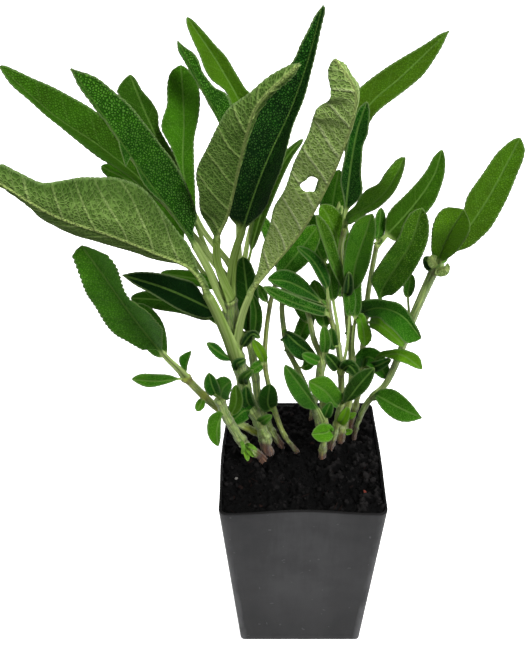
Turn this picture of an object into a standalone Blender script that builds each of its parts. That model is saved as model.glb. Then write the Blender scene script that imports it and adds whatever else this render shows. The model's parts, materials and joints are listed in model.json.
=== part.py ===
"""A young culinary sage, a salvia, in a square black nursery pot.

Metres, +Z up, origin at the middle of the pot's base. The pot, its soil and each leafy stem
are separate objects. The leaves were measured in one photograph, so a point of a stem or a leaf
is written as (column, row, back): where it shows in the picture, and how many millimetres it
lies behind the middle of the pot.
"""

import math
from bisect import bisect_right

import bpy
from mathutils import Matrix, Vector, noise

MM = 0.001
GAP = 0.3 * MM  # clearance between pieces that touch in the real thing

# Pot: a thin tapered square tube, sharp at the foot and a little blunter at the rim.
RIM_WIDTH = 70 * MM
FOOT_WIDTH = 58 * MM
POT_HEIGHT = 97 * MM
WALL = 1.0 * MM
FLOOR = 1.4 * MM
RIM_CORNER = 3.5 * MM
FOOT_CORNER = 2.0 * MM
# How far the middle of the rear, left, front and right side is drawn in at the rim, or bulges out.
WALL_SAGS = (0.0, -1.0 * MM, 1.8 * MM, -0.5 * MM)
DRAIN_RADIUS = 4.0 * MM
DRAIN_OFFSET = 17 * MM
CORNER_POINTS = 4
SIDE_POINTS = 4
WALL_LEVELS = 4

DRAIN_SIDES = 16
POT_CREASE = 30  # degrees: edges steeper than this stay sharp

# Soil: one lumpy block that fills the pot to its rim.
SOIL_TOP = 96.2 * MM
SOIL_RINGS = 9
LUMP_HEIGHT = 1.1 * MM
LUMP_SIZE = 9 * MM
GRAIN_HEIGHT = 0.5 * MM
GRAIN_SIZE = 3.5 * MM
RIM_DROP = 1.6 * MM  # how far the soil falls away where it meets the pot
ROOT_DEPTH = 9 * MM
HOLE_CLEARANCE = 0.36 * MM
SOIL_CREASE = 50

# Stems and leaves.
STEM_SIDES = 6
STEM_RINGS = 16
HOLE_RINGS = 5
STALK_WIDTH = 1.9 * MM
STALK_THICK = 1.5 * MM
BLADE_THICK = 0.66 * MM
RIB_THICK = 1.25 * MM
SPAN = 8 * MM  # length of blade between two sections
SCALLOP = 0.05  # how much every other section is wider
LEAF_CREASE = 35
BASE_ROUND = 0.5  # how roundly a blade begins, against its `tip`
UNDER_SIDES = (2, 5)  # sides of a leaf's section split the other way, so that both faces match

# The view in which the leaves were measured: where the eye is and how far down it looks.
VIEW_FROM = Vector((-8.9, -243.8, 336.0)) * MM
VIEW_DOWN = math.radians(34.5)
VIEW_FOCAL = 751.6  # pixels
VIEW_MIDDLE = (281.6, 322.0)  # column and row that the eye looks straight at
LOOK = Vector((0, math.cos(VIEW_DOWN), -math.sin(VIEW_DOWN)))
VIEW_UP = Vector((0, math.sin(VIEW_DOWN), math.cos(VIEW_DOWN)))
TO_EYE = -LOOK


def sightline(column, row):
    """Direction from the eye through a point of the picture."""
    across = (column - VIEW_MIDDLE[0]) / VIEW_FOCAL
    up = (VIEW_MIDDLE[1] - row) / VIEW_FOCAL
    return LOOK + Vector((across, 0, 0)) + VIEW_UP * up


def seen(column, row, back):
    """The point that shows at (column, row) and lies `back` millimetres behind the pot's middle."""
    ray = sightline(column, row)
    return VIEW_FROM + ray * ((back * MM - VIEW_FROM.y) / ray.y)


def seen_on_soil(column, row):
    """The point of the soil that shows at (column, row)."""
    ray = sightline(column, row)
    return VIEW_FROM + ray * ((SOIL_TOP - VIEW_FROM.z) / ray.z)


def shown_at(point):
    """The (column, row) of the picture at which a point shows."""
    from_eye = point - VIEW_FROM
    depth = from_eye.dot(LOOK)
    return Vector(
        (
            VIEW_MIDDLE[0] + VIEW_FOCAL * from_eye.x / depth,
            VIEW_MIDDLE[1] - VIEW_FOCAL * from_eye.dot(VIEW_UP) / depth,
        )
    )


class Line:
    """A smooth curve through points, read by the share of its length."""

    def __init__(self, points, per_span=10):
        ends = [points[0] * 2 - points[1], *points, points[-1] * 2 - points[-2]]
        self.points = []
        for before, start, stop, after in zip(ends, ends[1:], ends[2:], ends[3:]):
            for step in range(per_span):
                t = step / per_span
                self.points.append(
                    start
                    + (stop - before) * (t / 2)
                    + (before * 2 - start * 5 + stop * 4 - after) * (t * t / 2)
                    + (start * 3 - before - stop * 3 + after) * (t**3 / 2)
                )
        self.points.append(points[-1].copy())
        self.marks = [0.0]
        for a, b in zip(self.points, self.points[1:]):
            self.marks.append(self.marks[-1] + (b - a).length)
        self.length = self.marks[-1]

    def at(self, share):
        """The point at a share of the length, and the direction there."""
        goal = min(max(share, 0.0), 1.0) * self.length
        i = min(bisect_right(self.marks, goal), len(self.points) - 1)
        a, b = self.points[i - 1], self.points[i]
        part = (goal - self.marks[i - 1]) / (self.marks[i] - self.marks[i - 1])
        return a.lerp(b, part), (b - a).normalized()

    def share_near(self, column, row):
        """The share of the length whose point shows nearest to (column, row)."""
        goal = Vector((column, row))
        gaps = [(shown_at(point) - goal).length for point in self.points]
        return self.marks[gaps.index(min(gaps))] / self.length


def leaf(foot, rib, wide, turn=0, fold=22, stalk=0.2, wave=0.5, tip=0.75):
    """One leaf's measures.

    foot: where in the picture the petiole leaves the stem. rib: points along the petiole and
    the midrib, the tip last. wide: full width of the blade in mm. turn: how far the upper face
    is turned from the eye, in degrees, to the leaf's own right, at the foot and the tip or all
    along. fold: how far each half is raised. stalk: share of the rib that is bare petiole.
    wave: how far the margin waves, in mm. tip: how sharp the blade's end is.
    """
    turns = turn if isinstance(turn, tuple) else (turn, turn)
    return {
        "foot": foot,
        "rib": rib,
        "wide": wide * MM,
        "turns": turns,
        "fold": math.radians(fold),
        "stalk": stalk,
        "wave": wave * MM,
        "tip": tip,
    }


# Each leafy stem: the picture point where it leaves the soil, the points it runs through,
# its radius in mm at the soil and at the top, and its leaves.
SHOOTS = {
    "shoot_tall": {
        "soil": (268, 452),
        "stem": [(262, 428, 1), (249, 402, 2), (242, 376, 2), (236, 352, 1), (232, 325, 0), (229, 298, -1)],
        "radius": (2.4, 2.7),
        "leaves": [
            leaf((230, 300), [(233, 260, 3), (243, 228, 6), (258, 184, 12), (272, 150, 16),
                 (290, 112, 20), (308, 62, 23), (323, 5, 25)], 22, turn=-33, fold=33, stalk=0.25, tip=1.2),
            leaf((229, 298), [(217, 264, -4), (217, 238, -8), (227, 215, -12), (238, 170, -20),
                 (249, 127, -28), (268, 97, -32), (300, 64, -35)], 25, turn=(240, 218), fold=42, stalk=0.26,
                 tip=1.0),
            leaf((237, 345), [(240, 320, -4), (247, 300, -7), (257, 283, -10), (300, 232, -21),
                 (328, 179, -31), (346, 130, -39), (349, 95, -43), (337, 59, -45)], 24, turn=(242, 212),
                 fold=42, stalk=0.22, tip=0.6),
            leaf((238, 356), [(227, 333, -5), (211, 300, -11), (191, 269, -18), (153, 252, -27),
                 (110, 235, -37), (70, 222, -44), (38, 207, -49), (-14, 174, -52)], 33, turn=128, fold=40,
                 stalk=0.3, tip=0.85),
            leaf((231, 312), [(218, 290, -3), (207, 266, -6), (187, 233, -11), (150, 184, -17),
                 (113, 131, -24), (71, 69, -29)], 21, turn=38, fold=38, stalk=0.3, tip=0.6),
            leaf((238, 362), [(222, 354, -4), (207, 343, -6)], 6, turn=10, fold=15, stalk=0.12, wave=0.2),
            leaf((237, 352), [(245, 339, -3), (253, 333, -5), (260, 339, -7)], 6, turn=0, fold=15,
                 stalk=0.3, wave=0.2),
            leaf((247, 398), [(247, 398, -4), (245, 386, -6)], 6, turn=0, fold=12, stalk=0.1, wave=0.2),
            leaf((253, 411), [(244, 411, -2), (231, 422, -3)], 8, turn=0, fold=10, stalk=0.15, wave=0.2),
        ],
    },
    "shoot_tall_rear": {
        "soil": (281, 446),
        "stem": [(270, 428, 5), (259, 402, 7), (255, 372, 9), (250, 338, 11), (246, 305, 13),
                 (240, 275, 15)],
        "radius": (1.7, 1.5),
        "leaves": [
            leaf((240, 276), [(239, 245, 18), (236, 175, 25), (224, 128, 28), (199, 84, 31),
                 (178, 41, 32)], 13, turn=40, fold=40, stalk=0.3, tip=0.7),
            leaf((241, 280), [(247, 245, 22), (256, 190, 31), (246, 120, 41), (222, 70, 49),
                 (187, 17, 54)], 11, turn=0, fold=15, stalk=0.25),
            leaf((243, 290), [(228, 262, 16), (200, 225, 21), (184, 175, 29), (184, 118, 37),
                 (181, 65, 42)], 14, turn=0, fold=16, stalk=0.38, tip=0.4),
            leaf((243, 290), [(215, 265, 22), (192, 215, 30), (166, 158, 37), (145, 112, 41),
                 (130, 75, 42)], 12, turn=15, fold=18, stalk=0.32, tip=0.55),
            leaf((246, 305), [(222, 272, 11), (190, 232, 8), (150, 188, 6), (102, 148, 5), (60, 120, 5),
                 (30, 95, 6), (-1, 66, 8)], 19, turn=35, fold=35, stalk=0.36, tip=0.75),
            leaf((247, 318), [(212, 285, 17), (170, 222, 19), (140, 188, 20), (101, 166, 20)], 10,
                 turn=10, fold=12, stalk=0.5),
            leaf((250, 338), [(229, 324, 8), (210, 309, 4), (167, 289, -4), (122, 275, -11)], 11, turn=8,
                 fold=15, stalk=0.25, tip=0.8),
            leaf((250, 338), [(225, 328, 15), (190, 306, 17), (160, 298, 19), (131, 297, 19)], 6, turn=0,
                 fold=15, stalk=0.35),
            leaf((246, 305), [(225, 290, 14), (200, 280, 15), (161, 273, 16)], 6, turn=0, fold=12,
                 stalk=0.3, wave=0.2),
            leaf((243, 290), [(250, 255, 20), (261, 215, 25), (275, 180, 28), (288, 156, 30),
                 (303, 139, 31)], 5.5, turn=0, fold=16, stalk=0.25),
            leaf((251, 345), [(253, 322, 7), (255, 292, 7), (248, 258, 8)], 6.5, turn=0, fold=16,
                 stalk=0.2),
        ],
    },
    "shoot_low_left": {
        "soil": (262, 458),
        "stem": [(247, 447, -4), (236, 432, -6), (226, 415, -7), (219, 398, -8)],
        "radius": (2.0, 2.0),
        "leaves": [
            leaf((219, 399), [(213, 388, -10), (209, 373, -11)], 7, turn=0, fold=20, stalk=0.2, wave=0.2),
            leaf((220, 401), [(223, 389, -12), (231, 381, -15)], 9, turn=-20, fold=10, stalk=0.15,
                 wave=0.2),
            leaf((224, 412), [(221, 416, -11), (217, 430, -15), (218, 446, -17)], 7, turn=0, fold=14,
                 stalk=0.1, wave=0.3, tip=0.5),
            leaf((241, 440), [(248, 452, -9), (254, 461, -11)], 4, turn=0, fold=10, stalk=0.2, wave=0.0),
        ],
    },
    "shoot_side": {
        "soil": (270, 440),
        "stem": [(240, 424, 4), (215, 406, 2), (202, 394, 0), (192, 384, -1), (184, 376, -1)],
        "radius": (1.8, 1.6),
        "leaves": [
            leaf((186, 378), [(178, 369, -5), (163, 354, -9), (133, 317, -18), (107, 280, -25),
                 (82, 246, -29)], 17, turn=-26, fold=26, stalk=0.22, tip=0.4),
            leaf((185, 378), [(178, 379, -3), (155, 381, -9), (132, 379, -16)], 5.4, turn=0, fold=12,
                 stalk=0.12, tip=0.5),
            leaf((185, 377), [(186, 366, 0), (191, 351, -1)], 8, turn=20, fold=30, stalk=0.15, wave=0.3),
            leaf((203, 396), [(201, 403, -3), (197, 411, -5)], 4, turn=0, fold=10, stalk=0.2, wave=0.0),
            leaf((187, 379), [(173, 365, 4), (158, 347, 8), (150, 326, 11), (137, 304, 13)], 11, turn=10,
                 fold=15, stalk=0.35, tip=0.5),
        ],
    },
    "shoot_thin": {
        "soil": (297, 453),
        "stem": [(286, 438, 0), (277, 418, 0), (271, 395, 1), (265, 365, 3), (266, 335, 5), (270, 305, 7),
                 (275, 285, 8)],
        "radius": (1.2, 0.8),
        "leaves": [
            leaf((275, 286), [(284, 270, 11), (300, 250, 15), (318, 226, 18)], 12, turn=0, fold=14,
                 stalk=0.15),
            leaf((270, 305), [(264, 297, 10), (258, 285, 13)], 4, turn=0, fold=15, stalk=0.2, wave=0.0),
            leaf((266, 362), [(258, 366, 0), (251, 372, -1)], 5, turn=0, fold=12, stalk=0.2, wave=0.0),
            leaf((275, 413), [(267, 403, -2), (272, 384, -4)], 8, turn=0, fold=12, stalk=0.15, wave=0.2),
        ],
    },
    "shoot_brown": {
        "soil": (320, 436),
        "stem": [(316, 415, 10), (307, 390, 11), (297, 368, 11), (288, 350, 11), (284, 330, 12),
                 (282, 305, 13), (286, 275, 15)],
        "radius": (1.4, 0.9),
        "leaves": [
            leaf((285, 334), [(288, 335, 7), (299, 345, 4), (317, 357, 2)], 9, turn=0, fold=16, stalk=0.1),
            leaf((284, 290), [(278, 262, 20), (270, 235, 26), (258, 213, 30)], 6, turn=0, fold=14,
                 stalk=0.25),
            leaf((296, 368), [(306, 366, 12), (314, 356, 12)], 5, turn=0, fold=12, stalk=0.2, wave=0.0),
            leaf((286, 276), [(292, 262, 19), (300, 240, 25), (302, 212, 30)], 8, turn=0, fold=14,
                 stalk=0.2),
        ],
    },
    "shoot_middle": {
        "soil": (322, 456),
        "stem": [(325, 432, -2), (323, 405, -2), (321, 380, -1), (321, 358, 0), (314, 340, 1),
                 (310, 320, 2), (306, 308, 3)],
        "radius": (1.7, 0.9),
        "leaves": [
            leaf((322, 425), [(317, 408, -9), (302, 388, -16), (285, 365, -21)], 11, turn=0, fold=14,
                 stalk=0.3),
            leaf((325, 434), [(330, 430, -8), (325, 433, -11), (312, 434, -14)], 12, turn=0, fold=8,
                 stalk=0.2, wave=0.3),
            leaf((321, 362), [(325, 345, -3), (324, 326, -3)], 5, turn=0, fold=14, stalk=0.3, wave=0.2),
            leaf((307, 310), [(303, 306, 5), (294, 300, 8), (284, 291, 11)], 5, turn=0, fold=14,
                 stalk=0.15),
        ],
    },
    "shoot_upright": {
        "soil": (331, 448),
        "stem": [(336, 428, 3), (341, 400, 4), (341, 375, 5), (339, 350, 5), (334, 330, 5), (330, 315, 5),
                 (328, 298, 6)],
        "radius": (1.7, 0.9),
        "leaves": [
            leaf((330, 315), [(322, 312, 1), (300, 305, -2), (281, 297, -3), (263, 287, -3)], 9, turn=165,
                 fold=25, stalk=0.12),
            leaf((329, 306), [(321, 301, 6), (307, 291, 6), (289, 282, 6), (268, 279, 5)], 9, turn=0,
                 fold=16, stalk=0.12),
            leaf((328, 300), [(326, 284, 4), (313, 261, 3), (297, 247, 1)], 6, turn=25, fold=25,
                 stalk=0.2),
            leaf((338, 345), [(333, 345, 0), (331, 328, -2)], 5, turn=0, fold=14, stalk=0.2, wave=0.2),
            leaf((341, 372), [(333, 362, 2), (326, 354, 2)], 6, turn=0, fold=14, stalk=0.2, wave=0.2),
            leaf((341, 372), [(349, 366, 0), (358, 376, -2)], 6, turn=0, fold=14, stalk=0.15, wave=0.2),
            leaf((341, 404), [(348, 399, -4), (359, 385, -7), (374, 368, -9)], 9, turn=0, fold=14,
                 stalk=0.15),
            leaf((341, 406), [(335, 403, -3), (325, 391, -7), (309, 381, -10)], 9, turn=0, fold=8,
                 stalk=0.12),
            leaf((337, 424), [(342, 420, -1), (348, 407, -3)], 5, turn=0, fold=12, stalk=0.15, wave=0.2),
        ],
    },
    "shoot_leaning": {
        "soil": (340, 442),
        "stem": [(346, 418, 10), (351, 388, 12), (352, 360, 12), (349, 330, 11), (346, 300, 11),
                 (343, 270, 12), (341, 248, 13), (345, 228, 14)],
        "radius": (1.7, 1.0),
        "leaves": [
            leaf((344, 230), [(346, 208, 18), (350, 172, 23), (357, 132, 26), (367, 102, 27)], 10.5,
                 turn=-10, fold=22, stalk=0.15),
            leaf((345, 228), [(348, 218, 9), (363, 210, 2), (381, 197, -5), (394, 180, -9),
                 (405, 157, -11)], 9, turn=20, fold=25, stalk=0.1),
            leaf((343, 262), [(341, 250, 17), (335, 232, 19), (328, 216, 20), (321, 205, 20)], 11, turn=0,
                 fold=12, stalk=0.12),
            leaf((345, 291), [(342, 283, 7), (329, 254, 0), (316, 215, -6)], 9, turn=10, fold=22,
                 stalk=0.1),
            leaf((346, 292), [(351, 289, 7), (356, 262, 2), (364, 238, -1), (372, 214, -3)], 11.5, turn=0,
                 fold=16, stalk=0.08),
            leaf((346, 293), [(348, 290, 4), (349, 272, 1)], 4.5, turn=0, fold=14, stalk=0.1, wave=0.2),
            leaf((350, 338), [(358, 317, 8), (364, 328, 5), (368, 345, 3)], 6.5, turn=0, fold=12,
                 stalk=0.4),
        ],
    },
    "shoot_right": {
        "soil": (349, 428),
        "stem": [(356, 405, 20), (361, 375, 22), (363, 345, 22), (366, 310, 22), (371, 275, 22),
                 (377, 244, 22)],
        "radius": (1.5, 0.9),
        "leaves": [
            leaf((377, 245), [(384, 238, 24), (413, 206, 28), (433, 177, 31), (442, 150, 33)], 12, turn=0,
                 fold=18, stalk=0.12),
            leaf((376, 246), [(379, 232, 27), (381, 208, 29)], 5, turn=0, fold=12, stalk=0.15),
            leaf((365, 318), [(378, 305, 13), (383, 288, 10), (398, 264, 3), (411, 242, -2),
                 (422, 208, -7)], 12, turn=0, fold=14, stalk=0.24, tip=0.45),
            leaf((364, 330), [(362, 314, 14), (380, 308, 5), (402, 316, -4), (421, 338, -9)], 11, turn=0,
                 fold=24, stalk=0.22),
            leaf((362, 372), [(365, 358, 16), (375, 360, 13), (387, 378, 11)], 9, turn=0, fold=14,
                 stalk=0.15),
            leaf((362, 362), [(374, 359, 14), (386, 355, 8), (402, 355, 2), (422, 369, -3)], 6, turn=0,
                 fold=14, stalk=0.3, wave=0.3, tip=0.5),
        ],
    },
    "shoot_far_right": {
        "soil": (354, 437),
        "stem": [(362, 412, 8), (372, 397, 9), (384, 386, 9), (392, 372, 9), (403, 345, 9), (414, 315, 9),
                 (432, 275, 10), (440, 262, 10)],
        "radius": (1.0, 1.9),
        "leaves": [
            leaf((439, 264), [(446, 255, 13), (462, 236, 16), (480, 211, 19), (496, 184, 22),
                 (520, 138, 26)], 13.5, turn=0, fold=16, stalk=0.1, tip=0.5),
            leaf((438, 266), [(440, 256, 6), (445, 243, 2), (453, 227, -3), (464, 210, -6)], 14, turn=-20,
                 fold=25, stalk=0.12, tip=0.45),
            leaf((374, 395), [(378, 396, 3), (398, 407, -4), (422, 418, -11)], 10.5, turn=0, fold=12,
                 stalk=0.1, tip=0.6),
            leaf((440, 263), [(441, 268, 4), (448, 270, 2)], 5, turn=0, fold=14, stalk=0.2, wave=0.0),
            leaf((436, 270), [(428, 266, 8), (424, 258, 6)], 5, turn=0, fold=14, stalk=0.2, wave=0.0),
        ],
    },
    "shoot_rear": {
        "soil": (312, 420),
        "stem": [(316, 395, 24), (322, 350, 26), (328, 300, 28), (334, 250, 30), (338, 215, 31)],
        "radius": (1.6, 1.0),
        "leaves": [
            leaf((338, 216), [(344, 190, 35), (351, 145, 39), (369, 106, 43), (402, 76, 48),
                 (449, 31, 52)], 13.5, turn=5, fold=16, stalk=0.2),
            leaf((334, 252), [(333, 236, 33), (332, 208, 34), (339, 170, 35)], 11, turn=0, fold=14,
                 stalk=0.2),
            leaf((331, 275), [(322, 258, 36), (312, 236, 43), (306, 210, 47)], 11, turn=0, fold=16,
                 stalk=0.2),
            leaf((328, 300), [(338, 292, 34), (350, 277, 42), (358, 256, 47)], 11, turn=0, fold=16,
                 stalk=0.2),
        ],
    },
}


def material(name, colour, roughness):
    """A plain finish for one kind of piece."""
    made = bpy.data.materials.new(name)
    made.use_nodes = True
    shader = made.node_tree.nodes["Principled BSDF"]
    shader.inputs["Base Color"].default_value = (*colour, 1)
    shader.inputs["Roughness"].default_value = roughness
    made.diffuse_color = (*colour, 1)
    return made


def body(name, points, faces, finish):
    """A new object from points and faces."""
    mesh = bpy.data.meshes.new(name)
    mesh.from_pydata([tuple(point) for point in points], [], faces)
    mesh.materials.append(finish)
    made = bpy.data.objects.new(name, mesh)
    bpy.context.scene.collection.objects.link(made)
    return made


def set_aside(helper, group):
    """Moves an object that only cuts or joins into its own collection."""
    bpy.context.scene.collection.objects.unlink(helper)
    group.objects.link(helper)


def skin(rings, other_way=()):
    """Triangles between equal rings of points, closed at both ends. `other_way` names the sides
    that are split along their other diagonal."""
    count = len(rings[0])
    faces = []
    for row in range(len(rings) - 1):
        for i in range(count):
            a, b = row * count + i, row * count + (i + 1) % count
            if i in other_way:
                faces += [(a, b, a + count), (b, b + count, a + count)]
            else:
                faces += [(a, b, b + count), (a, b + count, a + count)]
    last = (len(rings) - 1) * count
    for i in range(1, count - 1):
        faces.append((0, i + 1, i))
        faces.append((last, last + i, last + i + 1))
    return [point for ring in rings for point in ring], faces


def rounded_square(width, corner, sags, height):
    """One level of the pot: arcs at the corners and slightly bent sides between them."""
    half = width / 2
    inner = half - corner
    ring = []
    for quarter, sag in enumerate(sags):
        turn = Matrix.Rotation(quarter * math.pi / 2, 3, "Z")
        for i in range(CORNER_POINTS):
            angle = math.pi / 2 * i / (CORNER_POINTS - 1)
            point = Vector((inner + corner * math.cos(angle), inner + corner * math.sin(angle), height))
            ring.append(turn @ point)
        for i in range(1, SIDE_POINTS):
            share = i / SIDE_POINTS
            hollow = sag * math.sin(math.pi * share) ** 2
            ring.append(turn @ Vector((inner - 2 * inner * share, half - hollow, height)))
    return ring


def pot_level(height, inset=0.0):
    """The pot's outline at a height, drawn in by `inset`."""
    rise = height / POT_HEIGHT
    width = FOOT_WIDTH + (RIM_WIDTH - FOOT_WIDTH) * rise
    corner = FOOT_CORNER + (RIM_CORNER - FOOT_CORNER) * rise
    sags = [sag * rise**2 for sag in WALL_SAGS]
    return rounded_square(width - 2 * inset, corner - 0.4 * inset, sags, height)


def drain_cutter(quarter):
    """An upright cylinder through the floor, near one corner."""
    side = Matrix.Rotation(quarter * math.pi / 2, 3, "Z") @ Vector((DRAIN_OFFSET, DRAIN_OFFSET, 0))
    rings = []
    for height in (-FLOOR, 2 * FLOOR):
        ring = []
        for i in range(DRAIN_SIDES):
            angle = 2 * math.pi * i / DRAIN_SIDES
            edge = Vector((math.cos(angle), math.sin(angle), 0)) * DRAIN_RADIUS
            ring.append(side + edge + Vector((0, 0, height)))
        rings.append(ring)
    return body(f"drain_{quarter}", *skin(rings), None)


def make_pot(finish):
    """The open tube with its floor, and a drain hole near each corner."""
    outside = [pot_level(POT_HEIGHT * i / WALL_LEVELS) for i in range(WALL_LEVELS + 1)]
    heights = [POT_HEIGHT + (FLOOR - POT_HEIGHT) * i / WALL_LEVELS for i in range(WALL_LEVELS + 1)]
    inside = [pot_level(height, WALL) for height in heights]
    pot = body("pot", *skin(outside + inside), finish)
    holes = bpy.data.collections.new("drain_holes")
    for quarter in range(4):
        set_aside(drain_cutter(quarter), holes)
    combine(pot, holes, "DIFFERENCE")
    shade(pot, POT_CREASE)


def combine(target, others, operation, solver="EXACT"):
    """Joins a collection to an object or cuts it away, applies that, and removes the collection."""
    tool = target.modifiers.new("combine", "BOOLEAN")
    tool.operation = operation
    tool.operand_type = "COLLECTION"
    tool.collection = others
    tool.solver = solver
    bpy.context.view_layer.update()
    graph = bpy.context.evaluated_depsgraph_get()
    joined = bpy.data.meshes.new_from_object(target.evaluated_get(graph))
    target.modifiers.clear()
    target.data = joined
    for helper in list(others.objects):
        bpy.data.objects.remove(helper)
    bpy.data.collections.remove(others)


def shade(target, degrees):
    """Smooth shading, kept sharp across edges steeper than an angle."""
    target.data.shade_smooth()
    target.data.set_sharp_from_angle(angle=math.radians(degrees))


def stem_line(shoot):
    """The stem's curve, from its buried foot up."""
    soil = seen_on_soil(*shoot["soil"])
    points = [soil - Vector((0, 0, ROOT_DEPTH)), soil, *(seen(*point) for point in shoot["stem"])]
    return Line(points)


def stem_rings(line, radii, grow=0.0, reach=1.0, rings=STEM_RINGS):
    """Rings round the stem's curve up to a share of its length, thinner towards the top."""
    made = []
    for i in range(rings + 1):
        share = reach * i / rings
        centre, along = line.at(share)
        radius = radii[0] * MM * (1 - share) + radii[1] * MM * share + grow
        side = Vector((0, 1, 0)).cross(along).normalized()
        front = along.cross(side)
        ring = []
        for k in range(STEM_SIDES):
            angle = 2 * math.pi * k / STEM_SIDES
            ring.append(centre + side * (radius * math.cos(angle)) + front * (radius * math.sin(angle)))
        made.append(ring)
    return made


def blade_width(share, tip):
    """Half width of a sage blade, as a share of its greatest, from its base to its tip."""
    widest = BASE_ROUND / (BASE_ROUND + tip)
    return (share / widest) ** BASE_ROUND * ((1 - share) / (1 - widest)) ** tip


def leaf_rings(measures, stem):
    """Six-cornered sections from inside the stem, along the petiole, to the blade's tip."""
    start, _ = stem.at(stem.share_near(*measures["foot"]))
    line = Line([start, *(seen(*point) for point in measures["rib"])])
    stalk = measures["stalk"]
    blade_length = line.length * (1 - stalk)
    spans = max(4, min(9, round(blade_length / SPAN)))
    stations = [stalk * i / 3 for i in range(3)] if stalk * line.length > SPAN else [0.0, stalk / 2]
    stations += [stalk + (1 - stalk) * (i / spans) for i in range(spans + 1)]
    rings = []
    for number, share in enumerate(stations):
        centre, along = line.at(share)
        blade = max(0.0, (share - stalk) / (1 - stalk))
        turn = math.radians(measures["turns"][0] * (1 - share) + measures["turns"][1] * share)
        facing = (TO_EYE - along * TO_EYE.dot(along)).normalized()
        facing.rotate(Matrix.Rotation(turn, 3, along))
        right = along.cross(facing)
        spread = min(1.0, blade * 6)
        fold = measures["fold"] * spread
        scallop = 1.0 + SCALLOP * (-1) ** number
        half = measures["wide"] / 2 * blade_width(blade, measures["tip"]) * scallop
        half = max(half, STALK_WIDTH / 2 * (1 - 0.6 * blade))
        wave = measures["wave"] * spread * (-1) ** number * (1 - blade)
        edge = BLADE_THICK / 2
        ridge = (STALK_THICK + (RIB_THICK - STALK_THICK) * min(1.0, blade * 2)) / 2 * (1 - 0.35 * blade)
        lifts = {}
        for side in (-1, 1):
            out = right * (side * math.cos(fold)) + facing * math.sin(fold)
            up = facing * math.cos(fold) - right * (side * math.sin(fold))
            rim = centre + out * half + facing * (wave * side)
            lifts[side] = (rim + up * edge, rim - up * edge)
        rings.append(
            [
                centre + facing * (ridge * 0.7),
                lifts[1][0],
                lifts[1][1],
                centre - facing * ridge,
                lifts[-1][1],
                lifts[-1][0],
            ]
        )
    return rings


def make_shoot(name, shoot, finish):
    """A stem with its leaves fused to it in one solid."""
    line = stem_line(shoot)
    made = body(name, *skin(stem_rings(line, shoot["radius"])), finish)
    blades = bpy.data.collections.new(f"{name}_leaves")
    for number, measures in enumerate(shoot["leaves"]):
        faces = skin(leaf_rings(measures, line), UNDER_SIDES)
        set_aside(body(f"{name}_leaf_{number}", *faces, finish), blades)
    combine(made, blades, "UNION", "MANIFOLD")
    made.data.materials.clear()
    made.data.materials.append(finish)
    shade(made, LEAF_CREASE)


def make_soil(finish):
    """The block of soil, lumpy on top, with a plain hole for every stem."""
    low = FLOOR + GAP
    inset = WALL + GAP
    base = pot_level(low, inset)
    rim = pot_level(SOIL_TOP - RIM_DROP, inset)
    rings = [base, rim]
    for ring in range(SOIL_RINGS):
        shrink = 1 - ring / SOIL_RINGS
        level = []
        for point in rim:
            place = Vector((point.x * shrink, point.y * shrink, 0))
            lump = noise.noise(place / LUMP_SIZE) * LUMP_HEIGHT
            grain = noise.noise(place / GRAIN_SIZE) * GRAIN_HEIGHT
            level.append(Vector((place.x, place.y, SOIL_TOP + lump + grain)))
        rings.append(level)
    soil = body("soil", *skin(rings), finish)
    holes = bpy.data.collections.new("stem_holes")
    for name, shoot in SHOOTS.items():
        line = stem_line(shoot)
        reach = 2 * ROOT_DEPTH / line.length
        rings = stem_rings(line, shoot["radius"], HOLE_CLEARANCE, reach, HOLE_RINGS)
        below = [point - Vector((0, 0, GAP)) for point in rings[0]]
        set_aside(body(f"hole_{name}", *skin([below, *rings]), None), holes)
    combine(soil, holes, "DIFFERENCE", "MANIFOLD")
    soil.data.materials.clear()
    soil.data.materials.append(finish)
    shade(soil, SOIL_CREASE)


def main():
    for old in list(bpy.data.objects):
        bpy.data.objects.remove(old)
    make_pot(material("black_plastic", (0.03, 0.03, 0.032), 0.5))
    make_soil(material("moist_soil", (0.008, 0.007, 0.006), 0.95))
    green = material("sage_leaf", (0.045, 0.13, 0.03), 0.65)
    for name, shoot in SHOOTS.items():
        make_shoot(name, shoot, green)


main()
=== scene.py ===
# %% [markdown]
# # A young sage in a square nursery pot
# The object is a culinary sage, as a garden shop sells it: a thin black plastic pot, moist dark
# soil up to its rim, and twelve leafy stems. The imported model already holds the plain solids,
# in metres, with the middle of the pot's base at the origin. This lesson dresses them: each
# plain solid is replaced by a finely modelled piece with its own finish, in the same place.

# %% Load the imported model
import json
import math

import bmesh
import bpy
import numpy as np
from mathutils import Matrix, Quaternion, Vector, noise

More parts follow.
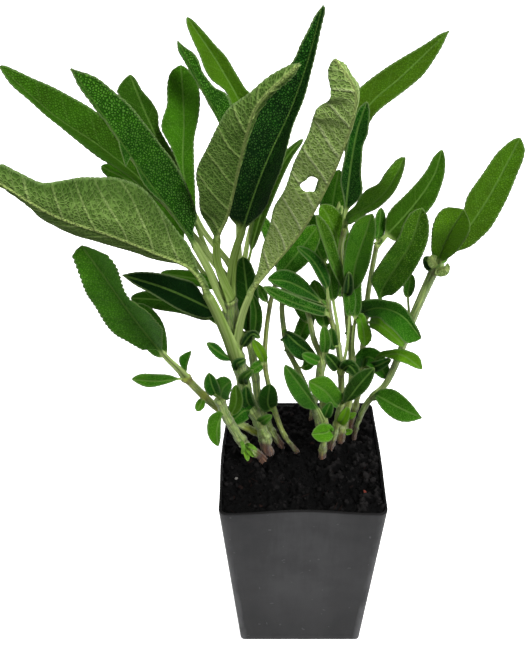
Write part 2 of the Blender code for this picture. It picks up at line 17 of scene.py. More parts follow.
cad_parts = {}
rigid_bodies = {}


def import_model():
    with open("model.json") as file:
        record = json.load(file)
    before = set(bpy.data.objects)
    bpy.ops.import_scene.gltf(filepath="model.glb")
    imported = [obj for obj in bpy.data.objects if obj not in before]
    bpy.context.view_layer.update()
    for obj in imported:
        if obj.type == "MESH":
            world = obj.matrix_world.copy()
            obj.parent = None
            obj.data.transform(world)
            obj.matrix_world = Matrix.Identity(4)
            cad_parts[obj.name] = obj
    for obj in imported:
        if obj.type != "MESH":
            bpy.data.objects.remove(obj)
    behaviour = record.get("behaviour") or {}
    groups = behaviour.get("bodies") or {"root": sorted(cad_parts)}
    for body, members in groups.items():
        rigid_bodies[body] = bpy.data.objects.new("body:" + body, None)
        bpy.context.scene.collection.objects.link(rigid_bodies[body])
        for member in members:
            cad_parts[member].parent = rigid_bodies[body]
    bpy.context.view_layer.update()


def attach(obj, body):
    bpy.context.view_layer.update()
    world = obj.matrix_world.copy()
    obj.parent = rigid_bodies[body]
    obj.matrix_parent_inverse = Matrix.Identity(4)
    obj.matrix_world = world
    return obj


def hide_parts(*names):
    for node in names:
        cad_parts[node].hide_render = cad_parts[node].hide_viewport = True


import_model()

MM = 0.001


# %% [markdown]
# ## The camera
# The picture was taken from above and a little to the left, close to the plant. The eye's place
# and its angle came from the pot's corners, because their real distances are known. A picture
# that is cut from a larger one isn't centred on its optical axis. The camera's shift moves the
# frame sideways by that amount, and nothing else in the view changes.

# %% Camera
PHOTO = (528, 645)
VIEW_FROM = np.array((-8.9, -243.8, 336.0)) * MM
VIEW_DOWN = math.radians(34.5)
VIEW_FOCAL = 751.6  # pixels
VIEW_MIDDLE = (281.6, 322.0)  # column and row that the eye looks straight at
SENSOR = 36  # mm


def placed(name, data):
    """A new object in the scene."""
    made = bpy.data.objects.new(name, data)
    bpy.context.scene.collection.objects.link(made)
    return made


camera_data = bpy.data.cameras.new("camera")
camera_data.sensor_fit = "VERTICAL"
camera_data.sensor_height = SENSOR
camera_data.lens = VIEW_FOCAL / PHOTO[1] * SENSOR
camera_data.shift_x = (PHOTO[0] / 2 - VIEW_MIDDLE[0]) / PHOTO[1]
camera_data.shift_y = (VIEW_MIDDLE[1] - PHOTO[1] / 2) / PHOTO[1]
camera_data.clip_start = 0.01
camera = placed("camera", camera_data)
camera.location = VIEW_FROM
camera.rotation_euler = (math.pi / 2 - VIEW_DOWN, 0, 0)
bpy.context.scene.camera = camera
print("lens in mm:", round(camera_data.lens, 2))

# %% [markdown]
# ## Sums with shader sockets
# A finish is a small machine of nodes. Written as plain calls, its arithmetic is hard to read, so
# one small class wraps a socket and answers to +, -, * and / by adding a Math node, also where a
# plain number stands first, as in 1 - mask. Every other node comes from one method, `node`, which
# takes the node's type, its settings, and what its sockets are given. Short methods built on it
# make the nodes that come up again and again.

# %% Shader helper
class Value:
    """A shader socket that can be used in sums, as a number can."""

    def __init__(self, finish, socket):
        self.finish = finish
        self.socket = socket

    def out(self, name):
        """Another output of the same node."""
        return Value(self.finish, self.socket.node.outputs[name])

    def __add__(self, other):
        return self.finish.sum("ADD", self, other)

    def __radd__(self, other):
        return self.finish.sum("ADD", other, self)

    def __sub__(self, other):
        return self.finish.sum("SUBTRACT", self, other)

    def __rsub__(self, other):
        return self.finish.sum("SUBTRACT", other, self)

    def __mul__(self, other):
        return self.finish.sum("MULTIPLY", self, other)

    def __rmul__(self, other):
        return self.finish.sum("MULTIPLY", other, self)

    def __truediv__(self, other):
        return self.finish.sum("DIVIDE", self, other)

    def __rtruediv__(self, other):
        return self.finish.sum("DIVIDE", other, self)

    def __abs__(self):
        return self.finish.sum("ABSOLUTE", self)


class Finish:
    """A material: its Principled shader with fixed values, and the nodes that vary the rest."""

    def __init__(self, name, **fixed):
        self.made = bpy.data.materials.new(name)
        self.made.use_nodes = True
        self.tree = self.made.node_tree
        self.shader = self.tree.nodes["Principled BSDF"]
        for key, value in fixed.items():
            self.feed(self.shader, key.replace("_", " "), value)

    def node(self, kind, settings=None, sockets=None):
        """A new node. Its settings come first, then the values or links of its sockets."""
        made = self.tree.nodes.new(kind)
        for name, setting in (settings or {}).items():
            if name == "stops":
                self.set_stops(made.color_ramp.elements, setting)
            else:
                setattr(made, name, setting)
        for key, value in (sockets or {}).items():
            self.feed(made, key, value)
        return Value(self, next(socket for socket in made.outputs if socket.enabled))

    def set_stops(self, elements, stops):
        while len(elements) < len(stops):
            elements.new(1.0)
        for element, (position, colour) in zip(elements, stops):
            element.position = position
            element.color = colour

    def feed(self, node, key, value):
        """Links a socket to a value, or sets it to a number or a colour."""
        if isinstance(key, int):
            socket = node.inputs[key]
        else:
            socket = next(entry for entry in node.inputs if entry.enabled and entry.name == key)
        if isinstance(value, Value):
            self.tree.links.new(value.socket, socket)
        else:
            socket.default_value = value

    def sum(self, operation, first, second=0.0):
        """The result of one operation on two numbers."""
        return self.node("ShaderNodeMath", {"operation": operation}, {0: first, 1: second})

    def attribute(self, name):
        """The three numbers that a mesh keeps at each point under a name."""
        stored = self.node("ShaderNodeAttribute", {"attribute_name": name})
        return self.split(stored.out("Vector"))

    def split(self, place):
        """The three numbers of a place."""
        first = self.node("ShaderNodeSeparateXYZ", {}, {"Vector": place})
        return first, first.out("Y"), first.out("Z")

    def place(self, x, y, z):
        """A place made of three numbers."""
        return self.node("ShaderNodeCombineXYZ", {}, {"X": x, "Y": y, "Z": z})

    def here(self):
        """The place of each point on the object."""
        return self.node("ShaderNodeTexCoord").out("Object")

    def noise(self, place, scale, detail=3.0, rough=0.55):
        """Cloudy values from 0 to 1 round 0.5."""
        sockets = {"Vector": place, "Scale": scale, "Detail": detail, "Roughness": rough}
        return self.node("ShaderNodeTexNoise", {}, sockets)

    def step(self, value, low, high):
        """A soft step, 0 below `low` and 1 above `high`, or the reverse if low is the greater."""
        sockets = {"Value": value, "From Min": low, "From Max": high}
        return self.node("ShaderNodeMapRange", {"interpolation_type": "SMOOTHSTEP"}, sockets)

    def clamped(self, value):
        """A value held between 0 and 1."""
        return self.node("ShaderNodeClamp", {}, {"Value": value})

    def mix(self, factor, first, second):
        """A colour between two, or one laid over the other."""
        sockets = {"Factor": factor, "A": first, "B": second}
        return self.node("ShaderNodeMix", {"data_type": "RGBA"}, sockets)

    def coats(self, colour, *coats):
        """A colour with others laid over it in turn, each with how much of it shows."""
        for amount, over in coats:
            colour = self.mix(amount, colour, over)
        return colour

    def bump(self, height, distance):
        """Small relief, whose height of 1 stands `distance` high."""
        sockets = {"Height": height, "Distance": distance, "Strength": 1.0}
        self.feed(self.shader, "Normal", self.node("ShaderNodeBump", {}, sockets))


def paint(red, green, blue):
    """A colour as seen on a screen, 0 to 255, in the values that a shader takes."""
    return (*(((value / 255 + 0.055) / 1.055) ** 2.4 for value in (red, green, blue)), 1.0)


print("a screen grey of 128 is", round(paint(128, 128, 128)[0], 3), "to a shader")

# %% [markdown]
# ## The stage
# The plant was photographed on white. A broad white floor gives the same, and a little glow of its
# own keeps it white where the plant shades it. The light is plain and soft: a white sky, one large
# lamp high on the right, and weaker ones from the left and from behind, which draw a thin light
# edge along the leaves.

# %% Floor, sky and lamps
FLOOR_SIZE = 12.0
FLOOR_WHITE = (0.9, 0.9, 0.9, 1)
FLOOR_GLOW = 0.8
PURE_WHITE = (1, 1, 1, 1)
SKY_RANGE = {"From Min": -0.25, "From Max": 0.25, "To Min": 0.25, "To Max": 0.5}  # height, brightness
PLANT_MIDDLE = Vector((0, 0, 0.16))

white = Finish("white_floor", Base_Color=FLOOR_WHITE, Roughness=0.9)
white.feed(white.shader, "Emission Color", PURE_WHITE)
white.feed(white.shader, "Emission Strength", FLOOR_GLOW)
floor_mesh = bpy.data.meshes.new("floor")
reach = FLOOR_SIZE / 2
corners = [(-reach, -reach, 0), (reach, -reach, 0), (reach, reach, 0), (-reach, reach, 0)]
floor_mesh.from_pydata(corners, [], [(0, 1, 2, 3)])
floor_mesh.materials.append(white.made)
floor = placed("floor", floor_mesh)
floor.visible_diffuse = False

sky = bpy.data.worlds.new("sky")
sky.use_nodes = True
heading = sky.node_tree.nodes.new("ShaderNodeTexCoord")
parts = sky.node_tree.nodes.new("ShaderNodeSeparateXYZ")
glow = sky.node_tree.nodes.new("ShaderNodeMapRange")
for socket_name, value in SKY_RANGE.items():
    glow.inputs[socket_name].default_value = value
background = sky.node_tree.nodes["Background"]
background.inputs["Color"].default_value = PURE_WHITE
sky.node_tree.links.new(heading.outputs["Generated"], parts.inputs["Vector"])
sky.node_tree.links.new(parts.outputs["Z"], glow.inputs["Value"])
sky.node_tree.links.new(glow.outputs["Result"], background.inputs["Strength"])
bpy.context.scene.world = sky
bpy.context.scene.view_settings.view_transform = "Standard"


def lamp(name, place, size, power):
    """A square soft lamp that points at the plant."""
    light = bpy.data.lights.new(name, "AREA")
    light.size = size
    light.energy = power
    stand = placed(name, light)
    stand.location = place
    stand.rotation_euler = (PLANT_MIDDLE - stand.location).to_track_quat("-Z", "Y").to_euler()


lamp("key_lamp", Vector((0.55, -0.75, 1.15)), 0.5, 22)
lamp("left_lamp", Vector((-0.95, -0.35, 0.8)), 0.8, 4)
lamp("rear_lamp", Vector((0.15, 0.9, 0.95)), 0.7, 10)
print("lamps:", len(bpy.data.lights))

# %% [markdown]
# ## From arrays to a piece
# Fine meshes have many thousands of points, and numpy works them all out at once. One helper turns
# such arrays into an object. It can also keep three numbers at each point under a name, such as how
# far along its leaf the point lies, and the finish reads them back. That is how veins in a
# colour fall exactly on veins in the shape.

# %% Mesh helper
def piece(name, points, faces, finish, stored=None):
    """A smoothly shaded object from an array of points and a list of faces."""
    mesh = bpy.data.meshes.new(name)
    mesh.from_pydata(points.tolist(), [], faces)
    for key, values in (stored or {}).items():
        layer = mesh.attributes.new(key, "FLOAT_VECTOR", "POINT")
        layer.data.foreach_set("vector", np.asarray(values, dtype=np.float32).ravel())
    mesh.materials.append(finish.made)
    mesh.shade_smooth()
    made = placed(name, mesh)
    return made


def unit(vectors):
    """The same directions, one long."""
    return vectors / np.linalg.norm(vectors, axis=-1, keepdims=True)


def soft(value, low, high):
    """A soft step from 0 at `low` to 1 at `high`."""
    share = np.clip((value - low) / (high - low), 0, 1)
    return share * share * (3 - 2 * share)


print("a soft step half way is", soft(0.5, 0, 1), "and a quarter of the way", soft(0.25, 0, 1))

# %% [markdown]
# ## The pot
# It is blown or drawn from one thin sheet: a square tube that narrows downwards, with a flat floor,
# four drain holes, and corners that are sharp at the foot and a little blunter at the rim. The
# sheet is so thin that the soil's weight bends each side in or out a little at the rim.
# A stack of rounded squares gives all of that: one ring of points for each height, first up the
# outside, then over the rim and down the inside.

# %% Pot rings
RIM_WIDTH = 70 * MM
FOOT_WIDTH = 58 * MM
POT_HEIGHT = 97 * MM
WALL = 1.0 * MM
FLOOR = 1.4 * MM
RIM_CORNER = 3.5 * MM
FOOT_CORNER = 2.0 * MM
CORNER_SHRINK = 0.4  # how much smaller a corner's radius is inside, for each step inwards
WALL_SAGS = (0.0, -1.0 * MM, 1.8 * MM, -0.5 * MM)  # rear, left, front and right side
FOOT_ROUND = 0.5 * MM
DRAIN_RADIUS = 4.0 * MM
DRAIN_OFFSET = 17 * MM
GAP = 0.3 * MM
CORNER_STEPS = 8
SIDE_STEPS = 26
OUTSIDE_LEVELS = 44
INSIDE_LEVELS = 16
QUARTER_TURN = np.array(((0, 1), (-1, 0)))


def at_height(flat, height):
    """The points of a flat outline at a height."""
    return np.column_stack([flat, np.full(len(flat), height)])


def pot_ring(height, inset=0.0):
    """The pot's outline at a height, drawn in by `inset`: arcs, and sides that sag towards the rim."""
    rise = height / POT_HEIGHT
    half = (FOOT_WIDTH + (RIM_WIDTH - FOOT_WIDTH) * rise) / 2 - inset
    corner = FOOT_CORNER + (RIM_CORNER - FOOT_CORNER) * rise - CORNER_SHRINK * inset
    inner = half - corner
    arc = np.linspace(0, math.pi / 2, CORNER_STEPS)
    side = np.linspace(0, 1, SIDE_STEPS + 1)[1:-1]
    across = np.concatenate([inner + corner * np.cos(arc), inner - 2 * inner * side])
    ring = []
    for quarter, sag in enumerate(WALL_SAGS):
        hollow = sag * rise**2 * np.sin(math.pi * side) ** 2
        out = np.concatenate([inner + corner * np.sin(arc), half - hollow])
        ring.append(np.stack([across, out], axis=1) @ np.linalg.matrix_power(QUARTER_TURN, quarter))
    return at_height(np.vstack(ring), height)


def closed_stack(rings):
    """Points and faces of a closed body from a stack of equal rings, capped at both ends."""
    count = len(rings[0])
    around = np.arange(count)
    nxt = (around + 1) % count
    faces = []
    for level in range(len(rings) - 1):
        low, high = level * count, (level + 1) * count
        faces.extend(np.stack([low + around, low + nxt, high + nxt, high + around], axis=1).tolist())
    faces.append(around[::-1].tolist())
    faces.append((around + (len(rings) - 1) * count).tolist())
    return np.vstack(rings), faces


foot_turn = np.linspace(0, math.pi / 2, 6)
rim_turn = np.linspace(0, math.pi, 8)[1:-1]
rim_start = POT_HEIGHT - WALL / 2
outside = [
    pot_ring(FOOT_ROUND * (1 - math.cos(turn)), FOOT_ROUND * (1 - math.sin(turn))) for turn in foot_turn
]
outside += [pot_ring(height) for height in np.linspace(FOOT_ROUND, rim_start, OUTSIDE_LEVELS)[1:]]
rim = [
    pot_ring(POT_HEIGHT - WALL / 2 * (1 - math.sin(turn)), WALL / 2 * (1 - math.cos(turn)))
    for turn in rim_turn
]
inside = [pot_ring(height, WALL) for height in np.linspace(rim_start, FLOOR, INSIDE_LEVELS)]
pot_points, pot_faces = closed_stack(outside + rim + inside)
print("pot rings:", len(outside + rim + inside), "points:", len(pot_points))

# %% [markdown]
# ### The pot's finish
# The plastic is black, but it looks dark grey, because its matte skin scatters the light of the
# room. Close up it has a fine grain, upright draw marks from the mould and a few pale scuffs. The
# finish also paints shade, darker towards the upright edges and towards the foot, and a pale
# painted highlight down the rounded corners, stronger lower down. The marks follow the height, so
# the noise is squeezed one way: stretched upright, it makes streaks.

# %% Pot finish
# The darkest grey below is painted shade; the palest is for the scuffs and for a painted highlight.
POT_SHADE = paint(28, 28, 29)
BLACK = paint(44, 44, 45)
GREY = paint(57, 57, 58)
SCUFF_AND_HIGHLIGHT = paint(104, 104, 106)
MUD = paint(6, 5, 5)
MUD_FROM = 95.8 * MM
MUD_FULL = 96.6 * MM
POT_RELIEF = 0.12 * MM

plastic = Finish("black_pot_plastic", Specular_IOR_Level=0.1)
where = plastic.here()
across, back, height = plastic.split(where)
streaked = plastic.node("ShaderNodeMapping", {}, {"Vector": where, "Scale": (1.0, 1.0, 0.12)})
streaks = plastic.noise(streaked, 420, 4)
clouds = plastic.noise(where, 45, 4)
grain = plastic.noise(where, 2600, 2)
specks = plastic.step(plastic.noise(where, 330, 2, 0.4), 0.71, 0.76)
slanted = {"Vector": where, "Scale": (1, 1, 0.2), "Rotation": (0.5, 0.3, 0)}
scratched = plastic.node("ShaderNodeMapping", {}, slanted)
scratches = plastic.step(plastic.noise(scratched, 700, 2, 0.5), 0.72, 0.78)
scratches = scratches * plastic.step(clouds, 0.5, 0.62)

# How near a point lies to an upright edge of the pot: 1 on the edge, 0 in the middle of a side
half_here = (height * ((RIM_WIDTH - FOOT_WIDTH) / POT_HEIGHT) + FOOT_WIDTH) * 0.5
nearest = plastic.sum("MINIMUM", abs(across), abs(back))
to_edge = nearest / half_here
# Painted shade: darker towards the upright edges and towards the foot.
shaded = plastic.step(to_edge, 0.3, 0.75) * 0.45 + plastic.step(height, 0.05, 0.0) * 0.9
# Painted highlight: a pale streak down each rounded corner, stronger lower down.
corner_highlight = plastic.step(to_edge + (streaks - 0.5) * 0.12, 0.87, 0.95) * plastic.step(clouds, 0.32, 0.6)
corner_highlight = corner_highlight * (0.35 + plastic.step(height, 0.09, 0.01) * 0.65)

tone = plastic.step(streaks * 0.25 + clouds * 0.75, 0.36, 0.62)
muddy = plastic.step(height, MUD_FROM, MUD_FULL) * 0.9
# Real specks and scratches, with the painted corner highlight among them.
wear_and_highlight = specks * 0.35 + scratches * 0.45 + corner_highlight * 0.5
colour = plastic.coats(BLACK, (tone, GREY), (shaded, POT_SHADE), (wear_and_highlight, SCUFF_AND_HIGHLIGHT), (muddy, MUD))
plastic.feed(plastic.shader, "Base Color", colour)
plastic.feed(plastic.shader, "Roughness", 0.5 + streaks * 0.12 + specks * 0.2)
plastic.bump(grain * 0.35 + streaks * 0.35 + clouds * 0.6, POT_RELIEF)
print("nodes in the pot's finish:", len(plastic.tree.nodes))

# %% [markdown]
# ### The drain holes
# Water has to run out, so the floor has four holes. A Boolean modifier cuts them with upright
# cylinders, and its result is kept as the pot's own mesh, so that no cylinder is left in the scene.

# %% Pot piece with its drain holes
def cut_drains(pot):
    """Cuts the four drain holes through the floor with upright cylinders."""
    cutters = bpy.data.collections.new("drain_cutters")
    turn = np.linspace(0, 2 * math.pi, 40, endpoint=False)
    circle = np.stack([np.cos(turn), np.sin(turn)], axis=1) * DRAIN_RADIUS
    for across in (-1, 1):
        for back in (-1, 1):
            flat = circle + np.array((across, back)) * DRAIN_OFFSET
            points, faces = closed_stack([at_height(flat, -FLOOR), at_height(flat, 2 * FLOOR)])
            mesh = bpy.data.meshes.new("drain")
            mesh.from_pydata(points.tolist(), [], faces)
            cutters.objects.link(bpy.data.objects.new("drain", mesh))
    cut = pot.modifiers.new("drains", "BOOLEAN")
    cut.operand_type = "COLLECTION"
    cut.collection = cutters
    cut.solver = "MANIFOLD"
    bpy.context.view_layer.update()
    holed = bpy.data.meshes.new_from_object(pot.evaluated_get(bpy.context.evaluated_depsgraph_get()))
    pot.modifiers.clear()
    pot.data = holed
    for cutter in list(cutters.objects):
        bpy.data.objects.remove(cutter)
    bpy.data.collections.remove(cutters)


pot = piece("pot_shell", pot_points, pot_faces, plastic)
cut_drains(pot)
pot.data.shade_smooth()
pot.data.set_sharp_from_angle(angle=math.radians(40))
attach(pot, "root")
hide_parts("pot")
print("pot faces:", len(pot.data.polygons))

# %% [markdown]
# ## The soil
# It is a peat mix: nearly black when moist, lumpy, with crumbs, short fibres and a few chips of
# bark. A fine square grid, bent to the pot's outline, is raised by several sizes of
# noise, from thumb-sized mounds to single grains, and its edge runs down the pot's inside. Loose
# crumbs are then strewn over it, because a raised sheet alone has no undercuts and looks like
# cloth.

# %% Soil surface
SOIL_TOP = 96.2 * MM
SOIL_CELLS = 150
RIM_DROP = 1.0 * MM
SOIL_INSET = WALL + 0.05 * MM
SOIL_SINK = 0.4 * MM
LUMPS = ((9.0, 1.2), (3.8, 2.2), (1.9, 1.2), (0.9, 0.45))  # size and height in mm


def soil_height(across, back):
    """How high the soil lies over a place, in metres."""
    lift = 0.0
    for size, rise in LUMPS:
        value = noise.noise(Vector((across / (size * MM), back / (size * MM), size)))
        lift += rise * MM * (value if size > 5 else value * 1.2 + 0.25 * abs(value))
    return SOIL_TOP - SOIL_SINK + lift


def reach_at(ring, angles):
    """How far the outline of a ring lies from the middle in each direction."""
    heading = np.arctan2(ring[:, 1], ring[:, 0])
    order = np.argsort(heading)
    return np.interp(angles, heading[order], np.hypot(ring[order, 0], ring[order, 1]), period=2 * math.pi)


soil_edge = pot_ring(SOIL_TOP, SOIL_INSET)
steps = np.linspace(-1, 1, SOIL_CELLS + 1)
flat_x, flat_y = (grid.ravel() for grid in np.meshgrid(steps, steps, indexing="ij"))
level = np.maximum(np.abs(flat_x), np.abs(flat_y))
angle = np.arctan2(flat_y, flat_x)
radius = level * reach_at(soil_edge, angle)
soil_x, soil_y = radius * np.cos(angle), radius * np.sin(angle)
soil_z = np.array([soil_height(x, y) for x, y in zip(soil_x, soil_y)])
soil_z -= RIM_DROP * soft(level, 0.93, 1.0)
top = np.stack([soil_x, soil_y, soil_z], axis=1)
numbers = np.arange((SOIL_CELLS + 1) ** 2).reshape(SOIL_CELLS + 1, -1)
quads = np.stack([numbers[:-1, :-1], numbers[1:, :-1], numbers[1:, 1:], numbers[:-1, 1:]], axis=-1)
border = np.concatenate([numbers[:-1, 0], numbers[-1, :-1], numbers[:0:-1, -1], numbers[0, :0:-1]])
lowest, highest = soil_z.min() / MM, soil_z.max() / MM
print("soil grid:", len(top), "points, from", round(lowest, 1), "to", round(highest, 1), "mm high")

# %% [markdown]
# The block goes down to the pot's floor, so that the drain holes look onto soil and not into
# an empty pot.

# %% Soil block
block_points = [top]
block_faces = quads.reshape(-1, 4).tolist()
above = border
edge_angle = np.arctan2(top[border, 1], top[border, 0])
for depth in (88 * MM, 60 * MM, 30 * MM, FLOOR + GAP):
    ring = pot_ring(depth, WALL + 0.1 * MM)
    distance = reach_at(ring, edge_angle)
    flat = np.stack([distance * np.cos(edge_angle), distance * np.sin(edge_angle)], axis=1)
    start = sum(len(points) for points in block_points)
    below = start + np.arange(len(border))
    block_points.append(at_height(flat, depth))
    block_faces += np.stack([above, below, np.roll(below, -1), np.roll(above, -1)], axis=1).tolist()
    above = below
block_faces.append(above[::-1].tolist())
soil_points = np.vstack(block_points)
print("soil block:", len(soil_points), "points")

# %% [markdown]
# Crumbs are small balls knocked out of round. Each is pushed about by its own noise, squashed a
# little, turned at random and set half into the surface. Fibres and chips come from the same ball,
# stretched long or flattened.

# %% One bit of soil
CRUMB, CHIP, RED, PALE = range(4)  # kinds of bits

rng = np.random.default_rng(7)
ball_maker = bmesh.new()
bmesh.ops.create_icosphere(ball_maker, subdivisions=2, radius=1)
ball = np.array([vertex.co[:] for vertex in ball_maker.verts])
ball_faces = np.array([[vertex.index for vertex in face.verts] for face in ball_maker.faces])
ball_maker.free()


def any_turn():
    """A random rotation, as a matrix."""
    return np.array(Quaternion(rng.normal(size=4)).normalized().to_matrix())


def flat_turn():
    """A random heading with a slight tilt, for bits that lie flat."""
    heading = rng.random() * 2 * math.pi
    tilt = rng.normal() * 0.2
    return np.array(Matrix.Rotation(heading, 3, "Z") @ Matrix.Rotation(tilt, 3, "X"))


def bit(across, back, size, shape, rough, sink, kind):
    """One bit of soil: its points, and the three numbers that tell the finish what it is."""
    knock = 1 + rough * (rng.random(len(ball)) - 0.5)
    turn = any_turn() if kind == CRUMB else flat_turn()
    local = (ball * knock[:, None] * np.array(shape) * size) @ turn.T
    centre = np.array((across, back, soil_height(across, back) - size * sink))
    return local + centre, np.tile((kind, rng.random(), rng.random()), (len(ball), 1))


print("points of a bit:", len(ball))

# %% Crumbs, fibres and chips
CRUMBS = 1500
FIBRES = 60
CHIPS = 14
CHIP_SPOTS = {RED: (26.5, -21.5), PALE: (-28.5, -14.5)}  # mm from the middle
BITS_INSET = 1.4 * MM  # how far the middles of all bits stay off the pot's wall

compass = np.linspace(-math.pi, math.pi, 361)
limit = reach_at(pot_ring(SOIL_TOP, WALL + BITS_INSET), compass)


def soil_spot():
    """A random place on the soil, inside the rim."""
    while True:
        across, back = (rng.random(2) * 2 - 1) * RIM_WIDTH / 2
        if math.hypot(across, back) < np.interp(math.atan2(back, across), compass, limit):
            return across, back


bits = []
for _ in range(CRUMBS):
    size = (0.35 + 1.3 * rng.random() ** 3) * MM
    bits.append(bit(*soil_spot(), size, (1, 0.8, 0.7), 0.5, 0.15, CRUMB))
for _ in range(FIBRES):
    length = 1.2 + 2.4 * rng.random()
    bits.append(bit(*soil_spot(), 0.16 * MM, (length * 5, 1, 0.8), 0.3, -0.6, CHIP))
for _ in range(CHIPS):
    size = (0.7 + 0.8 * rng.random()) * MM
    bits.append(bit(*soil_spot(), size, (1.3, 0.7, 0.22), 0.35, -0.1, CHIP))
for kind, (across, back) in CHIP_SPOTS.items():
    bits.append(bit(across * MM, back * MM, 0.85 * MM, (1.2, 0.9, 0.5), 0.4, -0.2, kind))
stored_soil = np.vstack([np.zeros((len(soil_points), 3)), *(entry[1] for entry in bits)])
all_points = [soil_points]
for number, entry in enumerate(bits):
    block_faces += (ball_faces + len(soil_points) + number * len(ball)).tolist()
    all_points.append(entry[0])
print("bits:", len(bits), "faces:", len(block_faces))

# %% [markdown]
# ### The soil's finish
# Moist peat hardly gives back any light, so it is nearly black. Random patches and crumbs are
# drier and greyer. The same grey paints light as well: on crumbs that stand up, as if lit from
# above, and more of it on the right, where the key lamp shines. Fibres and chips are browner. The
# kind of bit, kept at each point, tells the finish where the chips are, among them a reddish one
# and a pale one.

# %% Soil finish
PEAT_DARK = paint(1, 1, 1)
PEAT = paint(9, 8, 8)
# The grey of dry peat, also used to paint light on high crumbs and on the right.
PEAT_DRY_AND_LIT = paint(38, 36, 36)
BARK = paint(30, 18, 15)
RED_CHIP = paint(98, 46, 38)
PALE_CHIP = paint(100, 98, 94)
PEAT_RELIEF = 0.5 * MM

peat = Finish("peat_soil", Roughness=0.8, Specular_IOR_Level=0.06)
where = peat.here()
across, _, height = peat.split(where)
kind, shade, _ = peat.attribute("bit_kind")
mottle = peat.noise(where, 300, 5, 0.65)
grains = peat.noise(where, 1500, 3)
# Painted light: soil that stands higher is lighter, as if lit from above, and the right side is lighter, as
# if lit by the key lamp. The random patches are really drier peat.
lit_tops = peat.step(height, SOIL_TOP - 1 * MM, SOIL_TOP + 1.6 * MM)
lit_right_side = peat.step(across, 0.0, 30 * MM) * 0.16
colour = peat.mix(peat.step(mottle + shade * 0.25, 0.42, 0.85), PEAT_DARK, PEAT)
dry_and_lit = peat.step(mottle * 0.6 + lit_tops * 0.36 + shade * 0.15 + lit_right_side, 0.56, 0.94) * 0.5
colour = peat.mix(dry_and_lit, colour, PEAT_DRY_AND_LIT)
for this_kind, its_colour in ((CHIP, peat.mix(shade, PEAT, BARK)), (RED, RED_CHIP), (PALE, PALE_CHIP)):
    colour = peat.mix(peat.step(kind, this_kind - 0.6, this_kind - 0.4), colour, its_colour)
peat.feed(peat.shader, "Base Color", colour)
peat.bump(mottle + grains * 0.5, PEAT_RELIEF)

soil = piece("soil_bed", np.vstack(all_points), block_faces, peat, {"bit_kind": stored_soil})
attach(soil, "root")
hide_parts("soil")
print("soil faces:", len(soil.data.polygons))

# %% [markdown]
# ## Where each leaf grows
# Twelve stems carry ninety-odd leaves, and no two are alike, so the plant is a written list and
# not a random one. A point of a stem or a leaf is (column, row, back): where it shows in the
# picture, and how many millimetres it lies behind the middle of the pot. A line of sight
# through (column, row) meets the upright plane at that depth in one point only. The list is the
# solids' own, with small leaves added in the gaps between the stems and at their feet.

# %% Lines of sight and smooth curves
LOOK = np.array((0, math.cos(VIEW_DOWN), -math.sin(VIEW_DOWN)))
VIEW_UP = np.array((0, math.sin(VIEW_DOWN), math.cos(VIEW_DOWN)))
VIEW_RIGHT = np.array((1.0, 0, 0))
TO_EYE = -LOOK
ROOT_DEPTH = 9 * MM


def sightline(column, row):
    """Direction from the eye through a point of the picture."""
    across = (column - VIEW_MIDDLE[0]) / VIEW_FOCAL
    up = (VIEW_MIDDLE[1] - row) / VIEW_FOCAL
    return LOOK + VIEW_RIGHT * across + VIEW_UP * up


def seen(column, row, back):
    """The point that shows at (column, row) and lies `back` millimetres behind the pot's middle."""
    ray = sightline(column, row)
    return VIEW_FROM + ray * ((back * MM - VIEW_FROM[1]) / ray[1])


def seen_on_soil(column, row):
    """The point of the soil that shows at (column, row)."""
    ray = sightline(column, row)
    return VIEW_FROM + ray * ((SOIL_TOP - VIEW_FROM[2]) / ray[2])


def shown_at(points):
    """The columns and rows of the picture at which points show."""
    from_eye = points - VIEW_FROM
    depth = from_eye @ LOOK
    return np.stack([VIEW_MIDDLE[0] + VIEW_FOCAL * from_eye[:, 0] / depth,
                     VIEW_MIDDLE[1] - VIEW_FOCAL * (from_eye @ VIEW_UP) / depth], axis=1)


class Line:
    """A smooth curve through points, read by the share of its length."""

    def __init__(self, points, per_span=24):
        points = np.array(points)
        ends = np.vstack([2 * points[0] - points[1], points, 2 * points[-1] - points[-2]])
        t = np.linspace(0, 1, per_span, endpoint=False)[:, None]
        spans = []
        for before, start, stop, after in zip(ends, ends[1:], ends[2:], ends[3:]):
            spans.append(
                start
                + (stop - before) * (t / 2)
                + (2 * before - 5 * start + 4 * stop - after) * (t * t / 2)
                + (3 * start - before - 3 * stop + after) * (t**3 / 2)
            )
        self.points = np.vstack([*spans, points[-1:]])
        lengths = np.linalg.norm(np.diff(self.points, axis=0), axis=1)
        self.marks = np.concatenate([[0], np.cumsum(lengths)])
        self.length = self.marks[-1]

    def at(self, shares):
        """The points at shares of the length, and the directions there."""
        goals = np.asarray(shares) * self.length
        places = np.stack([np.interp(goals, self.marks, self.points[:, k]) for k in range(3)], axis=-1)
        slopes = unit(np.gradient(self.points, self.marks, axis=0))
        along = np.stack([np.interp(goals, self.marks, slopes[:, k]) for k in range(3)], axis=-1)
        return places, unit(along)

    def share_near(self, column, row):
        """The share of the length whose point shows nearest to (column, row)."""
        gaps = np.linalg.norm(shown_at(self.points) - (column, row), axis=1)
        return self.marks[np.argmin(gaps)] / self.length


print("a curve over a step of 3, 4, 0 is", round(Line([(0, 0, 0), (3, 4, 0)]).length, 2), "long")

# %% [markdown]
# A leaf's shape follows from a few measures, so that one function can make all the leaves. A
# measure that many leaves share has a default value and is left out of the list.

# %% The measures of one leaf
FACED_FOLD = 1.6  # how much more a leaf that faces the eye is folded than it looks
SMALL_LEAF = 12.5  # mm
ROUND_TIP = 0.5
SHARP_TIP = 0.75


